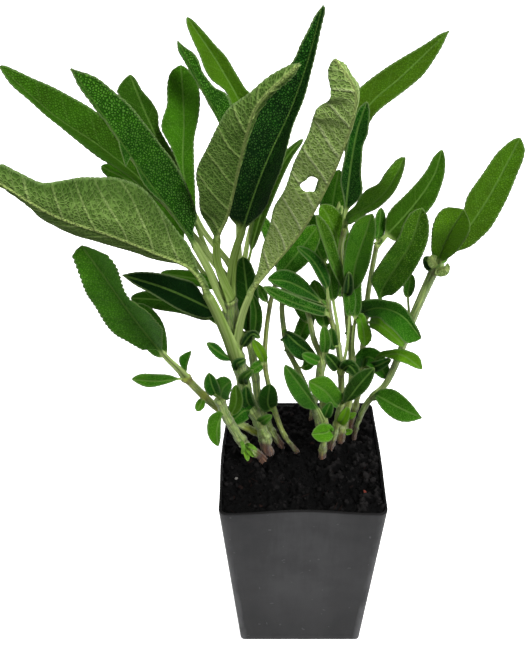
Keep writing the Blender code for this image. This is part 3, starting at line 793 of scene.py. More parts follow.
def leaf(foot, rib, wide, turn=0, fold=12, stalk=0.2, wave=0.5, tip=None, curl=1.35, teeth=1.0,
         reach=0.15, holes=()):
    """One leaf's measures.

    foot: where in the picture the petiole leaves the stem. rib: points along the petiole and
    the midrib, the tip last. wide: full width of the blade in mm. turn: how far the upper face
    is turned from the eye, in degrees, to the leaf's own right, all along or at even steps from
    the foot to the tip. fold: how far each half is raised. stalk: share of the rib that is bare
    petiole. wave: how far the margin waves, in mm. tip: how sharp the blade's end is (a leaf that
    is narrower than SMALL_LEAF has a round end unless it is given). curl: above 1, each half
    bends up like a boat's side. teeth: how deep the margin's teeth are, 1 being common. reach:
    share of the blade along which it folds up. holes: bites in the blade, each (column, row) of
    its middle, its width and length in mm.
    """
    return {
        "foot": foot,
        "rib": rib,
        "wide": wide * MM,
        "turns": turn if isinstance(turn, tuple) else (turn,),
        "fold": math.radians(fold * (FACED_FOLD if turn == 0 else 1)),
        "stalk": stalk,
        "wave": wave * MM,
        "tip": tip or (ROUND_TIP if wide < SMALL_LEAF else SHARP_TIP),
        "curl": curl,
        "teeth": teeth,
        "reach": reach,
        "holes": holes,
        "margins": (None, None),
    }


print("what is known of a leaf:", ", ".join(leaf((0, 0), [], 10)))

# %% The two tall stems and their leaves
SHOOTS = {}


def leafy_stem(name, soil, radius, stem, *leaves, yellow=0.0):
    """Lists one leafy stem.

    soil: the picture point where it leaves the soil. radius: in mm, at the soil and at the top.
    stem: the points it runs through. yellow: how yellow its skin is in patches.
    """
    SHOOTS[name] = {"soil": soil, "radius": radius, "stem": stem, "leaves": leaves, "yellow": yellow}


leafy_stem(
    "shoot_tall", (268, 452), (2.4, 2.7),
    [(262, 428, 1), (249, 402, 2), (242, 376, 2), (236, 352, 1), (232, 325, 0), (229, 298, -1)],
    leaf((230, 300), [(233, 260, 3), (243, 228, 6), (258, 184, 12), (272, 150, 16), (290, 112, 20),
        (308, 62, 23), (323, 5, 25)], 22, turn=-33, fold=33, stalk=0.25, tip=1.2),
    leaf((229, 298), [(217, 264, -4), (217, 238, -8), (227, 215, -12), (238, 170, -20), (248, 130, -27),
        (255, 110, -30), (266, 95, -32), (283, 79, -34), (300, 64, -35)], 25,
        turn=(252, 250, 246, 232, 186), fold=42, stalk=0.26, tip=1.0, reach=0.02),
    leaf((237, 345), [(240, 320, -4), (247, 300, -7), (257, 283, -10), (300, 232, -21), (330, 179, -31),
        (348, 135, -38), (354, 114, -41), (356, 96, -43), (350, 80, -44), (335, 59, -45)], 24,
        turn=(250, 250, 250, 249, 248, 247, 244, 228, 182), fold=42, stalk=0.22, tip=0.6, reach=0.02,
        holes=[(310, 186, 5.4, 7.0)]),
    leaf((238, 356), [(227, 333, -5), (211, 300, -11), (191, 269, -18), (153, 252, -27), (110, 235, -37),
        (70, 222, -44), (38, 207, -49), (-14, 174, -52)], 33, turn=134, fold=40, stalk=0.3, tip=0.85,
        curl=2.2),
    leaf((231, 312), [(218, 290, -3), (207, 266, -6), (187, 233, -11), (150, 184, -17), (113, 131, -24),
        (71, 69, -29)], 21, turn=38, fold=38, stalk=0.325, tip=0.6),
    leaf((238, 362), [(222, 354, -4), (207, 343, -6)], 6, turn=10, fold=15, stalk=0.12, wave=0.2),
    leaf((239, 356), [(246, 341, -3), (253, 334, -5), (260, 338, -7)], 4.2, fold=15, stalk=0.35, wave=0.2),
    leaf((250, 409), [(247, 400, -5), (246, 386, -7)], 6, stalk=0.1, wave=0.2),
    leaf((253, 411), [(244, 411, -4), (231, 422, -5)], 8, fold=10, stalk=0.15, wave=0.2),
    leaf((238, 370), [(237, 364, -5), (246, 359, -7)], 4.5, stalk=0.1, wave=0.2),
    leaf((242, 386), [(244, 378, -5), (253, 370, -7)], 4.5, stalk=0.1, wave=0.2),
    leaf((258, 424), [(264, 420, -5), (272, 415, -6)], 4.5, stalk=0.1, wave=0.2),
)
leafy_stem(
    "shoot_tall_rear", (281, 446), (1.7, 1.5),
    [(270, 428, 5), (259, 402, 7), (255, 372, 9), (250, 338, 11), (246, 305, 13), (240, 275, 15)],
    leaf((240, 276), [(239, 245, 18), (236, 175, 25), (224, 128, 28), (199, 84, 31), (178, 41, 32)], 13,
        turn=40, fold=40, stalk=0.3, tip=0.7),
    leaf((241, 280), [(247, 245, 22), (256, 190, 31), (246, 120, 41), (222, 70, 49), (187, 17, 54)], 11,
        fold=22, stalk=0.25),
    leaf((243, 290), [(228, 262, 16), (200, 225, 21), (184, 175, 29), (184, 118, 37), (181, 65, 42)], 14,
        fold=16, stalk=0.38, tip=0.4),
    leaf((243, 290), [(215, 265, 22), (192, 215, 30), (166, 158, 37), (145, 112, 41), (130, 75, 42)], 12,
        turn=15, fold=18, stalk=0.32, tip=0.55),
    leaf((246, 305), [(222, 272, 11), (190, 232, 8), (150, 188, 6), (102, 148, 5), (60, 120, 5),
        (30, 95, 6), (-1, 66, 8)], 19, turn=30, fold=44, stalk=0.36, tip=0.75),
    leaf((247, 318), [(212, 285, 17), (170, 222, 19), (140, 188, 20), (101, 166, 20)], 10, turn=10,
        stalk=0.5),
    leaf((250, 338), [(229, 324, 8), (210, 309, 4), (167, 289, -4), (122, 275, -11)], 11, turn=8, fold=15,
        stalk=0.25, tip=0.8),
    leaf((250, 338), [(225, 328, 15), (190, 306, 17), (160, 300, 19), (131, 298, 19)], 9.5, fold=15,
        stalk=0.35),
    leaf((246, 305), [(225, 290, 14), (200, 280, 15), (161, 273, 16)], 6, stalk=0.3, wave=0.2),
    leaf((243, 290), [(250, 255, 20), (261, 215, 25), (275, 180, 28), (288, 156, 30), (303, 139, 31)], 5.5,
        fold=16, stalk=0.25),
    leaf((251, 345), [(249, 322, 7), (247, 292, 7), (243, 257, 8)], 10, fold=16, tip=0.4),
    leaf((252, 345), [(255, 330, 6), (256, 312, 5), (252, 294, 5)], 5.5, fold=14),
    leaf((251, 378), [(233, 350, 8), (220, 325, 10), (207, 300, 12)], 6, stalk=0.75, wave=0.2),
)
print("stems:", ", ".join(SHOOTS))

# %% The low and thin stems on the left
leafy_stem(
    "shoot_low_left", (262, 458), (2.0, 2.0),
    [(247, 447, -4), (236, 432, -6), (226, 415, -7), (219, 398, -8)],
    leaf((219, 399), [(213, 388, -10), (209, 373, -11)], 7, fold=20, wave=0.2),
    leaf((220, 401), [(223, 389, -12), (231, 381, -15)], 9, turn=-20, fold=10, stalk=0.15, wave=0.2),
    leaf((224, 412), [(221, 416, -11), (217, 430, -15), (218, 446, -17)], 7, fold=14, stalk=0.1, wave=0.3,
        tip=0.5),
    leaf((241, 440), [(246, 452, -9), (248, 461, -11)], 2.6, fold=10, wave=0.0),
    leaf((229, 419), [(236, 404, -8), (236, 385, -9)], 6, fold=14, stalk=0.15, wave=0.2),
    leaf((243, 443), [(249, 450, -10), (254, 457, -11)], 2.6, turn=30, fold=20, wave=0.0),
    leaf((244, 445), [(250, 446, -10), (257, 450, -12)], 2.2, turn=-20, fold=20, wave=0.0),
    leaf((240, 438), [(243, 447, -11), (242, 454, -12)], 2.0, turn=-30, fold=20, wave=0.0),
)
leafy_stem(
    "shoot_side", (270, 440), (1.8, 1.6),
    [(240, 424, 4), (215, 406, 2), (202, 394, 0), (192, 384, -1), (184, 376, -1)],
    leaf((186, 378), [(178, 369, -5), (163, 354, -9), (133, 317, -18), (107, 280, -25), (82, 246, -29)], 17,
        turn=-26, fold=26, stalk=0.255, tip=0.4, teeth=2.4),
    leaf((185, 378), [(178, 379, -3), (155, 381, -9), (132, 379, -16)], 5.4, stalk=0.12, tip=0.5),
    leaf((185, 377), [(186, 366, 0), (191, 351, -1)], 8, turn=20, fold=30, stalk=0.15, wave=0.3),
    leaf((203, 396), [(201, 403, -3), (197, 411, -5)], 4, fold=10, wave=0.0),
    leaf((187, 379), [(173, 365, 4), (158, 347, 8), (150, 326, 11), (137, 304, 13)], 11, turn=10, fold=15,
        stalk=0.35, tip=0.5),
    yellow=0.8,
)
leafy_stem(
    "shoot_thin", (297, 453), (1.2, 0.8),
    [(286, 438, 0), (277, 418, 0), (271, 395, 1), (265, 365, 3), (266, 335, 5), (270, 305, 7),
        (275, 285, 8)],
    leaf((275, 286), [(284, 270, 11), (300, 250, 15), (318, 226, 18)], 12, fold=14, stalk=0.15),
    leaf((270, 305), [(264, 297, 10), (258, 285, 13)], 4, fold=15, wave=0.0),
    leaf((266, 362), [(258, 366, 0), (251, 372, -1)], 5, wave=0.0),
    leaf((275, 413), [(268, 404, -2), (270, 384, -4)], 9, stalk=0.15, wave=0.2, tip=0.5),
    leaf((266, 366), [(262, 355, 1), (253, 340, 0)], 4.5, fold=8, stalk=0.15, wave=0.0),
    yellow=0.6,
)
leafy_stem(
    "shoot_brown", (320, 436), (1.4, 0.9),
    [(316, 415, 10), (307, 390, 11), (297, 368, 11), (288, 350, 11), (284, 330, 12), (282, 305, 13),
        (286, 275, 15)],
    leaf((285, 334), [(288, 335, 7), (299, 345, 4), (317, 357, 2)], 9, fold=16, stalk=0.1),
    leaf((284, 290), [(278, 262, 20), (270, 235, 26), (258, 213, 30)], 6, fold=14, stalk=0.25),
    leaf((296, 368), [(306, 366, 12), (314, 356, 12)], 5, wave=0.0),
    leaf((286, 276), [(292, 262, 19), (300, 240, 25), (302, 212, 30)], 8, fold=14),
    leaf((292, 352), [(299, 338, 8), (305, 325, 10), (312, 306, 12)], 7, stalk=0.3, wave=0.2),
    yellow=0.2,
)
print("stems so far:", len(SHOOTS))

# %% The stems in the middle
leafy_stem(
    "shoot_middle", (322, 456), (1.7, 0.9),
    [(325, 432, -2), (323, 405, -2), (321, 380, -1), (321, 358, 0), (314, 340, 1), (310, 320, 2),
        (306, 308, 3)],
    leaf((322, 425), [(317, 408, -9), (302, 388, -16), (285, 365, -21)], 11, fold=14, stalk=0.3),
    leaf((325, 434), [(330, 430, -8), (325, 433, -11), (312, 434, -14)], 12, fold=8, wave=0.3),
    leaf((321, 362), [(325, 345, -3), (324, 326, -3)], 5, fold=14, stalk=0.3, wave=0.2),
    leaf((307, 310), [(303, 306, 5), (294, 300, 8), (284, 291, 11)], 5, fold=14, stalk=0.15),
    leaf((321, 362), [(315, 360, -3), (302, 354, -5)], 5, fold=14, stalk=0.15, wave=0.2),
    leaf((323, 420), [(326, 413, -5), (331, 402, -6)], 5.5, fold=14, stalk=0.15, wave=0.2),
    leaf((321, 362), [(317, 345, 2), (309, 322, 6), (303, 305, 9), (297, 284, 10)], 8, stalk=0.5, wave=0.2),
    leaf((322, 376), [(327, 352, 4), (325, 330, 6), (321, 305, 8), (314, 280, 10)], 8, turn=-15, fold=16,
        stalk=0.5, wave=0.2),
    yellow=0.3,
)
leafy_stem(
    "shoot_upright", (331, 448), (1.7, 0.9),
    [(336, 428, 3), (341, 400, 4), (341, 375, 5), (339, 350, 5), (334, 330, 5), (330, 315, 5),
        (328, 298, 6)],
    leaf((330, 315), [(322, 312, 1), (300, 305, -2), (281, 297, -3), (263, 287, -3)], 9, turn=15, fold=25,
        stalk=0.12),
    leaf((329, 306), [(321, 301, 6), (307, 291, 6), (289, 282, 6), (268, 279, 5)], 9, fold=16, stalk=0.12),
    leaf((328, 300), [(326, 284, 4), (313, 261, 3), (297, 247, 1)], 6, turn=25, fold=25),
    leaf((338, 345), [(333, 345, 0), (331, 328, -2)], 5, fold=14, wave=0.2),
    leaf((341, 372), [(333, 362, 2), (326, 354, 2)], 6, fold=14, wave=0.2),
    leaf((341, 372), [(349, 366, 0), (358, 376, -2)], 6, fold=14, stalk=0.15, wave=0.2),
    leaf((341, 404), [(348, 399, -4), (359, 385, -7), (374, 368, -9)], 9, fold=14, stalk=0.15),
    leaf((341, 406), [(335, 403, -3), (325, 391, -7), (309, 381, -10)], 9, fold=8, stalk=0.12),
    leaf((337, 424), [(342, 420, -1), (348, 407, -3)], 5, stalk=0.15, wave=0.2),
    leaf((341, 345), [(338, 330, 4), (334, 305, 8), (331, 285, 9), (330, 262, 10)], 7, stalk=0.55,
        wave=0.2),
    leaf((340, 372), [(346, 352, 5), (349, 325, 7), (349, 300, 8), (346, 278, 9)], 6, turn=20, fold=16,
        stalk=0.6, wave=0.2),
    yellow=0.45,
)
leafy_stem(
    "shoot_leaning", (340, 442), (1.7, 1.0),
    [(346, 418, 10), (351, 388, 12), (352, 360, 12), (349, 330, 11), (346, 300, 11), (343, 270, 12),
        (341, 248, 13), (345, 228, 14)],
    leaf((344, 230), [(346, 208, 18), (350, 172, 23), (357, 132, 26), (367, 102, 27)], 10.5, turn=-10,
        fold=22, stalk=0.15),
    leaf((345, 228), [(348, 218, 9), (363, 210, 2), (381, 197, -5), (394, 180, -9), (405, 157, -11)], 9,
        turn=-15, fold=25, stalk=0.1),
    leaf((343, 262), [(341, 250, 17), (335, 232, 19), (328, 216, 20), (321, 205, 20)], 11, stalk=0.12),
    leaf((345, 291), [(342, 283, 7), (329, 254, 0), (316, 215, -6)], 9, turn=10, fold=22, stalk=0.1),
    leaf((346, 292), [(351, 289, 7), (356, 262, 2), (364, 238, -1), (372, 214, -3)], 11.5, fold=16,
        stalk=0.08),
    leaf((346, 293), [(348, 290, 4), (349, 272, 1)], 4.5, fold=14, stalk=0.1, wave=0.2),
    leaf((350, 338), [(358, 317, 8), (363, 328, 5), (365, 346, 3)], 8, stalk=0.4, tip=0.4),
    leaf((346, 418), [(350, 416, 8), (356, 413, 7)], 3, stalk=0.15, wave=0.0),
    leaf((343, 432), [(347, 432, 8), (352, 430, 7)], 3, stalk=0.15, wave=0.0),
    leaf((347, 360), [(353, 340, 6), (355, 315, 8), (353, 292, 9), (357, 270, 10)], 7, stalk=0.55,
        wave=0.2),
    yellow=0.35,
)
print("stems so far:", len(SHOOTS))

# %% The stems on the right and behind
leafy_stem(
    "shoot_right", (349, 428), (1.5, 0.9),
    [(356, 405, 20), (361, 375, 22), (363, 345, 22), (366, 310, 22), (371, 275, 22), (377, 244, 22)],
    leaf((377, 245), [(384, 238, 24), (413, 206, 28), (433, 177, 31), (442, 150, 33)], 12, fold=18,
        stalk=0.12),
    leaf((376, 246), [(379, 232, 27), (381, 208, 29)], 5, stalk=0.15),
    leaf((365, 318), [(378, 305, 13), (383, 288, 10), (398, 264, 3), (411, 242, -2), (422, 208, -7)], 12,
        fold=14, stalk=0.24, tip=0.45),
    leaf((364, 330), [(362, 314, 14), (380, 308, 5), (402, 316, -4), (421, 338, -9)], 11, fold=24,
        stalk=0.22),
    leaf((362, 372), [(365, 358, 16), (375, 360, 13), (387, 378, 11)], 9, fold=14, stalk=0.15),
    leaf((362, 362), [(374, 359, 14), (386, 355, 8), (402, 355, 2), (422, 369, -3)], 6, fold=14, stalk=0.3,
        wave=0.3, tip=0.5),
    leaf((362, 368), [(376, 366, 10), (391, 359, 7)], 5, stalk=0.3, wave=0.2),
    leaf((365, 322), [(378, 324, 9), (390, 333, 6), (404, 346, 4)], 6, wave=0.2),
    yellow=0.4,
)
leafy_stem(
    "shoot_far_right", (354, 437), (1.0, 1.9),
    [(362, 412, 8), (372, 397, 9), (384, 386, 9), (392, 372, 9), (403, 345, 9), (414, 315, 9),
        (432, 275, 10), (440, 262, 10)],
    leaf((439, 264), [(446, 255, 13), (462, 236, 16), (480, 211, 19), (496, 184, 22), (520, 138, 26)], 13.5,
        fold=16, stalk=0.1, tip=0.5),
    leaf((438, 266), [(440, 256, 6), (445, 243, 2), (453, 227, -3), (464, 210, -6)], 14, turn=-20, fold=25,
        stalk=0.12, tip=0.45),
    leaf((374, 395), [(378, 396, 3), (398, 407, -4), (422, 418, -11)], 10.5, stalk=0.1, tip=0.6),
    leaf((437, 268), [(443, 269, 4), (450, 269, 2)], 6.5, turn=165, fold=14, stalk=0.15, wave=0.0),
    leaf((436, 270), [(430, 266, 8), (424, 257, 6)], 5, fold=14, wave=0.0),
    leaf((437, 266), [(434, 262, 3), (430, 256, 1)], 5, turn=165, fold=14, wave=0.0),
    leaf((412, 335), [(409, 315, 14), (408, 295, 16), (411, 274, 18)], 5, stalk=0.6, wave=0.2),
)
leafy_stem(
    "shoot_rear", (312, 420), (1.6, 1.0),
    [(316, 395, 24), (322, 350, 26), (328, 300, 28), (334, 250, 30), (338, 215, 31)],
    leaf((338, 216), [(344, 190, 35), (351, 145, 39), (369, 106, 43), (402, 76, 48), (449, 31, 52)], 13.5,
        turn=5, fold=30),
    leaf((334, 252), [(333, 236, 33), (332, 208, 34), (339, 170, 35)], 11, fold=14),
    leaf((331, 275), [(322, 258, 36), (312, 236, 43), (306, 210, 47)], 11, fold=16),
    leaf((328, 300), [(338, 292, 34), (350, 277, 42), (358, 256, 47)], 11, fold=16),
)

all_leaves = [measures for shoot in SHOOTS.values() for measures in shoot["leaves"]]
print("stems:", len(SHOOTS), "leaves:", len(all_leaves))

# %% [markdown]
# The eye is quick to see a wrong outline, so the leaves in front also have their margins
# drawn as points of the picture, from the blade's base to its tip. Left and right are as seen by
# someone who walks along the rib towards the tip. Where a half is turned away from the eye, or its
# first stretch is, it has no margin to draw (None), and it is given the width of the other half.
# Each leaf also has three numbers for its green: how light it is, which paints it lit or shaded and
# is partly its own tone; how warm, which paints a yellow glow of light through its upper face and
# shade towards the margin of its under face; and how crisp its pebbling looks, with its painted
# highlights and shade. The numbers in both lists count the leaves of a stem from 0.

# %% Margins
MARGINS = {
    "shoot_tall": {
        0: ([(228, 214), (230, 190), (238, 160), (250, 122), (264, 95), (291, 63), (300, 45), (308, 30),
            (315, 15)], [(250, 224), (267, 206), (277, 183), (284, 158), (292, 130), (304, 96), (313, 65),
            (320, 32), (325, 8)]),
        1: ([(212, 232), (200, 210), (198, 190), (197, 176), (202, 155), (222, 119), (230, 107), (250, 92),
            (268, 77), (290, 65)], [None, (262, 104), (270, 97), (280, 88), (290, 80), (296, 73)]),
        2: ([(259, 262), (267, 233), (274, 211), (282, 193), (292, 169), (300, 149), (307, 135), (313, 117),
            (318, 106), (326, 103), (330, 98), (331, 90), (329, 80), (328, 70), (330, 62)], [None,
            (361, 98), (361, 90), (358, 81), (352, 72), (345, 64)]),
        3: (None, [(190, 248), (180, 235), (165, 215), (152, 198), (140, 186), (115, 177), (100, 177),
            (75, 178), (55, 181), (40, 182), (15, 170), (0, 163)]),
        4: ([(182, 229), (165, 206), (145, 185), (130, 156), (108, 125), (97, 112), (80, 88), (73, 74)],
            [(193, 228), (196, 218), (193, 198), (187, 184), (175, 164), (161, 144), (146, 125), (126, 101),
            (100, 80), (85, 73)]),
        5: ([(228, 361), (220, 360), (212, 353), (207, 346)], [(227, 355), (220, 346), (213, 342)]),
    },
    "shoot_tall_rear": {
        0: ([(219, 118), (205, 98), (195, 80), (185, 62), (178, 50)], [(231, 104), (215, 88), (203, 72),
            (200, 62), (194, 53), (186, 48)]),
        1: ([(231, 103), (213, 82), (205, 70), (200, 55), (196, 40), (190, 28)], [(255, 105), (247, 92),
            (233, 68), (225, 55), (212, 42), (193, 20)]),
        2: ([(172, 150), (161, 128), (167, 105), (167, 92), (168, 80), (172, 70)], [(194, 160), (194, 140),
            (198, 120), (200, 100), (197, 82), (188, 70)]),
        3: ([(119, 96), (121, 85), (125, 76)], [(178, 165), (163, 135), (158, 125), (159, 115), (150, 99),
            (143, 92), (134, 76)]),
        4: ([(137, 183), (120, 171), (90, 151), (70, 135), (50, 118), (30, 101), (10, 83)], [(150, 150),
            (120, 130), (100, 115), (85, 104), (50, 86), (30, 77), (0, 63)]),
        6: ([(213, 317), (205, 319), (190, 315), (175, 308), (150, 293), (135, 285)], [(205, 298),
            (195, 283), (180, 278), (165, 274), (150, 272), (135, 272)]),
    },
    "shoot_low_left": {
        2: ([(221, 420), (221, 432), (220, 442)], [(212, 412), (208, 420), (207, 430), (210, 440)]),
    },
    "shoot_side": {
        0: ([(152, 348), (145, 350), (125, 341), (113, 333), (95, 308), (87, 295), (79, 275), (75, 264),
            (72, 254), (75, 248)], [(162, 338), (163, 328), (160, 317), (153, 308), (145, 305), (136, 305),
            (128, 297), (123, 288), (120, 278), (116, 266), (109, 257), (100, 250), (90, 246)]),
        1: ([(170, 383), (155, 387), (145, 387), (136, 382)], [(170, 375), (155, 374), (140, 374)]),
        2: ([(179, 362), (182, 353)], [(192, 352), (192, 360)]),
    },
    "shoot_brown": {
        0: ([(284, 331), (292, 332), (300, 336), (307, 342), (312, 349)], [(281, 338), (284, 344),
            (288, 350), (293, 356), (300, 360), (308, 361)]),
    },
    "shoot_middle": {
        0: ([(305, 409), (296, 401), (289, 390), (285, 378)], [(314, 400), (307, 384), (300, 375),
            (292, 368)]),
        1: ([(333, 440), (325, 442), (316, 441)], [(335, 428), (328, 423), (320, 424), (314, 428)]),
    },
    "shoot_upright": {
        0: ([(335, 317), (320, 316), (305, 312), (290, 307), (278, 301), (268, 294)], [(330, 309),
            (315, 303), (300, 297), (285, 291), (272, 286)]),
        1: ([(318, 303), (310, 300), (295, 295), (285, 290), (274, 284)], [(319, 297), (310, 285),
            (300, 276), (290, 270), (278, 270)]),
        6: ([(343, 398), (344, 390), (350, 380), (360, 371)], [(352, 401), (360, 396), (368, 388),
            (373, 378)]),
        7: ([(338, 408), (328, 405), (318, 400), (311, 392)], [(345, 398), (338, 388), (330, 378),
            (320, 376)]),
    },
    "shoot_leaning": {
        0: ([(342, 190), (340, 180), (346, 150), (350, 130), (354, 118), (360, 106)], [(362, 195),
            (361, 175), (362, 160), (363, 143), (367, 138), (369, 125), (370, 112)]),
        1: ([(347, 212), (355, 205), (366, 190), (378, 184), (385, 173), (398, 158)], [(352, 224),
            (365, 214), (378, 208), (392, 195), (398, 185), (403, 172)]),
        3: ([(340, 285), (330, 265), (325, 250), (320, 235), (316, 222)], [(344, 275), (340, 258),
            (335, 240), (328, 225), (318, 214)]),
        4: ([(343, 275), (344, 255), (347, 240), (353, 225), (362, 216)], [(358, 287), (365, 277),
            (370, 262), (373, 245), (376, 232), (375, 218)]),
        6: ([(366, 320), (371, 330), (372, 340)], [(357, 318), (357, 330), (359, 340)]),
    },
    "shoot_right": {
        0: ([(385, 222), (390, 210), (400, 200), (410, 190), (420, 179), (428, 168), (434, 156)],
            [(400, 243), (414, 230), (428, 211), (435, 202), (443, 180), (445, 165)]),
        2: ([(376, 292), (371, 284), (372, 276), (384, 257), (398, 238), (403, 225), (409, 215),
            (415, 209)], [(384, 295), (390, 296), (402, 287), (409, 279), (421, 258), (428, 240),
            (429, 225), (427, 215)]),
        3: ([(357, 306), (362, 301), (375, 299), (390, 301), (400, 303), (407, 311), (414, 322)],
            [(362, 315), (370, 318), (380, 318), (388, 330), (395, 341), (405, 343), (415, 343)]),
        5: ([(380, 352), (390, 350), (400, 349), (412, 352), (420, 357)], [(383, 357), (390, 358),
            (398, 362), (405, 363), (413, 367)]),
    },
    "shoot_far_right": {
        0: ([(462, 222), (464, 210), (468, 195), (484, 172), (492, 160), (500, 150), (510, 143)],
            [(462, 250), (472, 246), (482, 237), (492, 226), (508, 197), (518, 172), (523, 160),
            (525, 148)]),
        1: ([(435, 260), (431, 250), (431, 238), (433, 225), (437, 215), (443, 209), (452, 207)],
            [(443, 262), (450, 257), (458, 250), (465, 240), (470, 230), (470, 219), (468, 212)]),
        2: ([(377, 391), (385, 388), (393, 389), (400, 393), (410, 402)], [(377, 401), (381, 408),
            (388, 415), (398, 421), (410, 422)]),
    },
    "shoot_rear": {
        0: ([(344, 128), (349, 110), (358, 90), (380, 72), (400, 59), (417, 49), (430, 41), (440, 34)],
            [(370, 122), (383, 107), (395, 98), (408, 88), (420, 78), (427, 70), (440, 50), (445, 40)]),
    },
}
for name, drawn in MARGINS.items():
    for number, margins in drawn.items():
        SHOOTS[name]["leaves"][number]["margins"] = margins
print("leaves with drawn margins:", sum(len(drawn) for drawn in MARGINS.values()))

# %% Greens, with painted light and shade
# Each leaf's numbers: how light it is painted, from shaded to lit and partly its own tone; how warm, a
# painted glow above and painted shade below; how crisp its pebbling looks.
PLAIN_GREEN_AND_LIGHT = (0.62, 0.15, 0.7)  # for a leaf that isn't listed
GREENS_AND_LIGHT = {
    "shoot_tall": {0: (0.06, 0.0, 1.0), 1: (0.08, 0.0, 1.0), 2: (0.95, 0.0, 1.0), 3: (0.2, 1.0, 0.8),
        4: (0.42, 0.15, 1.0), 5: (0.35, 0.0, 0.3), 6: (0.0, 0.0, 0.2), 7: (0.15, 0.0, 0.4),
        8: (0.45, 0.0, 0.5), 9: (0.1, 0.0, 0.2), 10: (0.2, 0.3, 0.2), 11: (0.4, 0.3, 0.3)},
    "shoot_tall_rear": {0: (0.42, 0.2, 0.9), 1: (0.36, 1.0, 0.2), 2: (0.5, 0.5, 0.3), 3: (0.2, 0.5, 0.5),
        4: (0.3, 0.55, 0.35), 5: (0.5, 0.5, 0.2), 6: (-0.2, 0.0, 0.9), 7: (0.2, 0.3, 0.3),
        8: (0.45, 0.5, 0.2), 9: (0.12, 0.5, 0.2), 10: (0.12, 0.1, 0.3), 11: (0.3, 0.2, 0.3)},
    "shoot_low_left": {0: (0.3, 0.0, 0.4), 1: (0.5, 0.1, 0.5), 2: (0.5, 0.5, 0.3), 3: (1.0, 0.8, 0.0),
        4: (0.35, 0.8, 0.2), 5: (0.9, 0.9, 0.0), 6: (0.8, 0.9, 0.0), 7: (0.7, 0.9, 0.0)},
    "shoot_side": {0: (0.5, 0.35, 0.5), 1: (0.6, 0.2, 0.6), 2: (0.5, 0.0, 0.3), 3: (0.5, 0.6, 0.0),
        4: (0.3, 0.3, 0.4)},
    "shoot_thin": {3: (0.15, 0.1, 0.3), 4: (0.9, 1.0, 0.0)},
    "shoot_brown": {0: (0.15, 0.0, 0.5), 2: (0.6, 0.0, 0.3)},
    "shoot_middle": {0: (0.4, 0.2, 0.4), 1: (0.75, 0.4, 0.3), 4: (0.6, 0.0, 0.3), 5: (0.3, 0.0, 0.3)},
    "shoot_upright": {0: (0.5, 0.0, 1.0), 1: (0.35, 0.0, 0.7), 2: (0.35, 0.0, 0.6), 3: (0.2, 0.1, 0.2),
        4: (0.1, 0.1, 0.4), 5: (0.1, 0.1, 0.4), 6: (0.12, 0.2, 0.4), 7: (0.75, 0.0, 0.5),
        8: (0.95, 0.8, 0.0)},
    "shoot_leaning": {0: (0.22, 0.0, 0.8), 1: (0.95, 0.0, 0.7), 2: (0.95, 0.2, 0.7), 3: (0.85, 0.1, 0.9),
        4: (0.6, 0.3, 0.6), 5: (0.0, 0.0, 0.2), 6: (0.75, 0.7, 0.2), 7: (0.9, 0.5, 0.0),
        8: (0.9, 0.5, 0.0)},
    "shoot_right": {0: (0.28, 0.6, 0.3), 2: (0.8, 0.3, 0.9), 3: (0.42, 0.1, 0.6), 4: (0.5, 0.0, 0.5),
        5: (0.72, 0.9, 0.2), 6: (0.1, 0.0, 0.2), 7: (0.8, 0.6, 0.2)},
    "shoot_far_right": {0: (0.4, 1.0, 0.4), 1: (1.0, 0.4, 0.4), 2: (0.48, 0.3, 0.5), 3: (1.0, 0.0, 0.0),
        4: (0.1, 0.0, 0.2), 5: (1.0, 0.0, 0.0)},
    "shoot_rear": {0: (0.28, 1.0, 0.3)},
}
for name, shoot in SHOOTS.items():
    for number, measures in enumerate(shoot["leaves"]):
        measures["green"] = GREENS_AND_LIGHT[name].get(number, PLAIN_GREEN_AND_LIGHT)
print("leaves with the plain green:", sum(measures["green"] == PLAIN_GREEN_AND_LIGHT for measures in all_leaves))

# %% [markdown]
# ## The blade of a sage leaf
# A sage leaf is long and narrow, with a round base, a midrib that is sunk above and stands out
# below, side veins that run forward at a narrow angle, and a skin that is quilted like crocodile
# leather between the smallest veins. Its margin has fine blunt teeth. The blade is made as two
# grids, the upper and the under face, a third of a millimetre apart, and joined round the edge:
# it is a closed shell, so it has a real edge from every side. The veins and the quilting are part
# of the shape, and the finest pebbling is left to the finish.

# %% Sizes of a leaf's parts
BASE_ROUND = 0.5
STALK_LEAST = 0.5 * MM  # a petiole's width is this and a share of its blade's width
STALK_SHARE = 0.15
STALK_FLARE = 0.35  # how much wider a petiole is where it clasps the stem
BLADE_HALF_THICK = 0.17 * MM
RIB_RADIUS = 0.5 * MM
RIB_HEIGHT = 0.85 * MM
TOOTH_PITCH = 2.1 * MM
TOOTH_DEPTH = 0.34 * MM
VEIN_SLANT = 1.0  # how far a side vein runs forward for each step outward, at the midrib
VEIN_BEND = 18.0  # how fast it bends further forward, per metre
VEIN_WIDTH = 0.28 * MM
STRONG_EVERY = 3  # every third side vein is a strong one
VEIN_OFFSET = 1.45  # how far the right half's veins are shifted, in veins
VEIN_WANDER = 0.22  # how far a vein strays, in veins
WANDER_SIZE = 14 * MM
WANDER_SEEDS = 50  # where the seeds of the veins' straying begin
SLIGHT_BLADE = 6 * MM  # a blade this wide or less has the slightest relief
FULL_BLADE = 20 * MM  # and one this wide or more has all of it
SETS_IN = 0.15  # share of the blade over which its relief sets in
RIPPLE_SIZE = 15 * MM
RIPPLE_HEIGHT = 0.45 * MM
SWAY_LENGTH = 22 * MM  # from one wave of the margin to the next
QUILT_HEIGHT = 0.16 * MM
RIB_SINK = 0.3 * MM  # how deep the midrib lies in the upper face
EDGE_LEAST = 0.06 * MM


def bell(value, width):
    """1 where the value is 0, and falling smoothly to nothing on both sides."""
    return np.exp(-((value / width) ** 2))


def blade_width(share, tip):
    """Half width of a sage blade, as a share of its greatest, from its base to its tip."""
    widest = BASE_ROUND / (BASE_ROUND + tip)
    return (share / widest) ** BASE_ROUND * ((1 - share) / (1 - widest)) ** tip


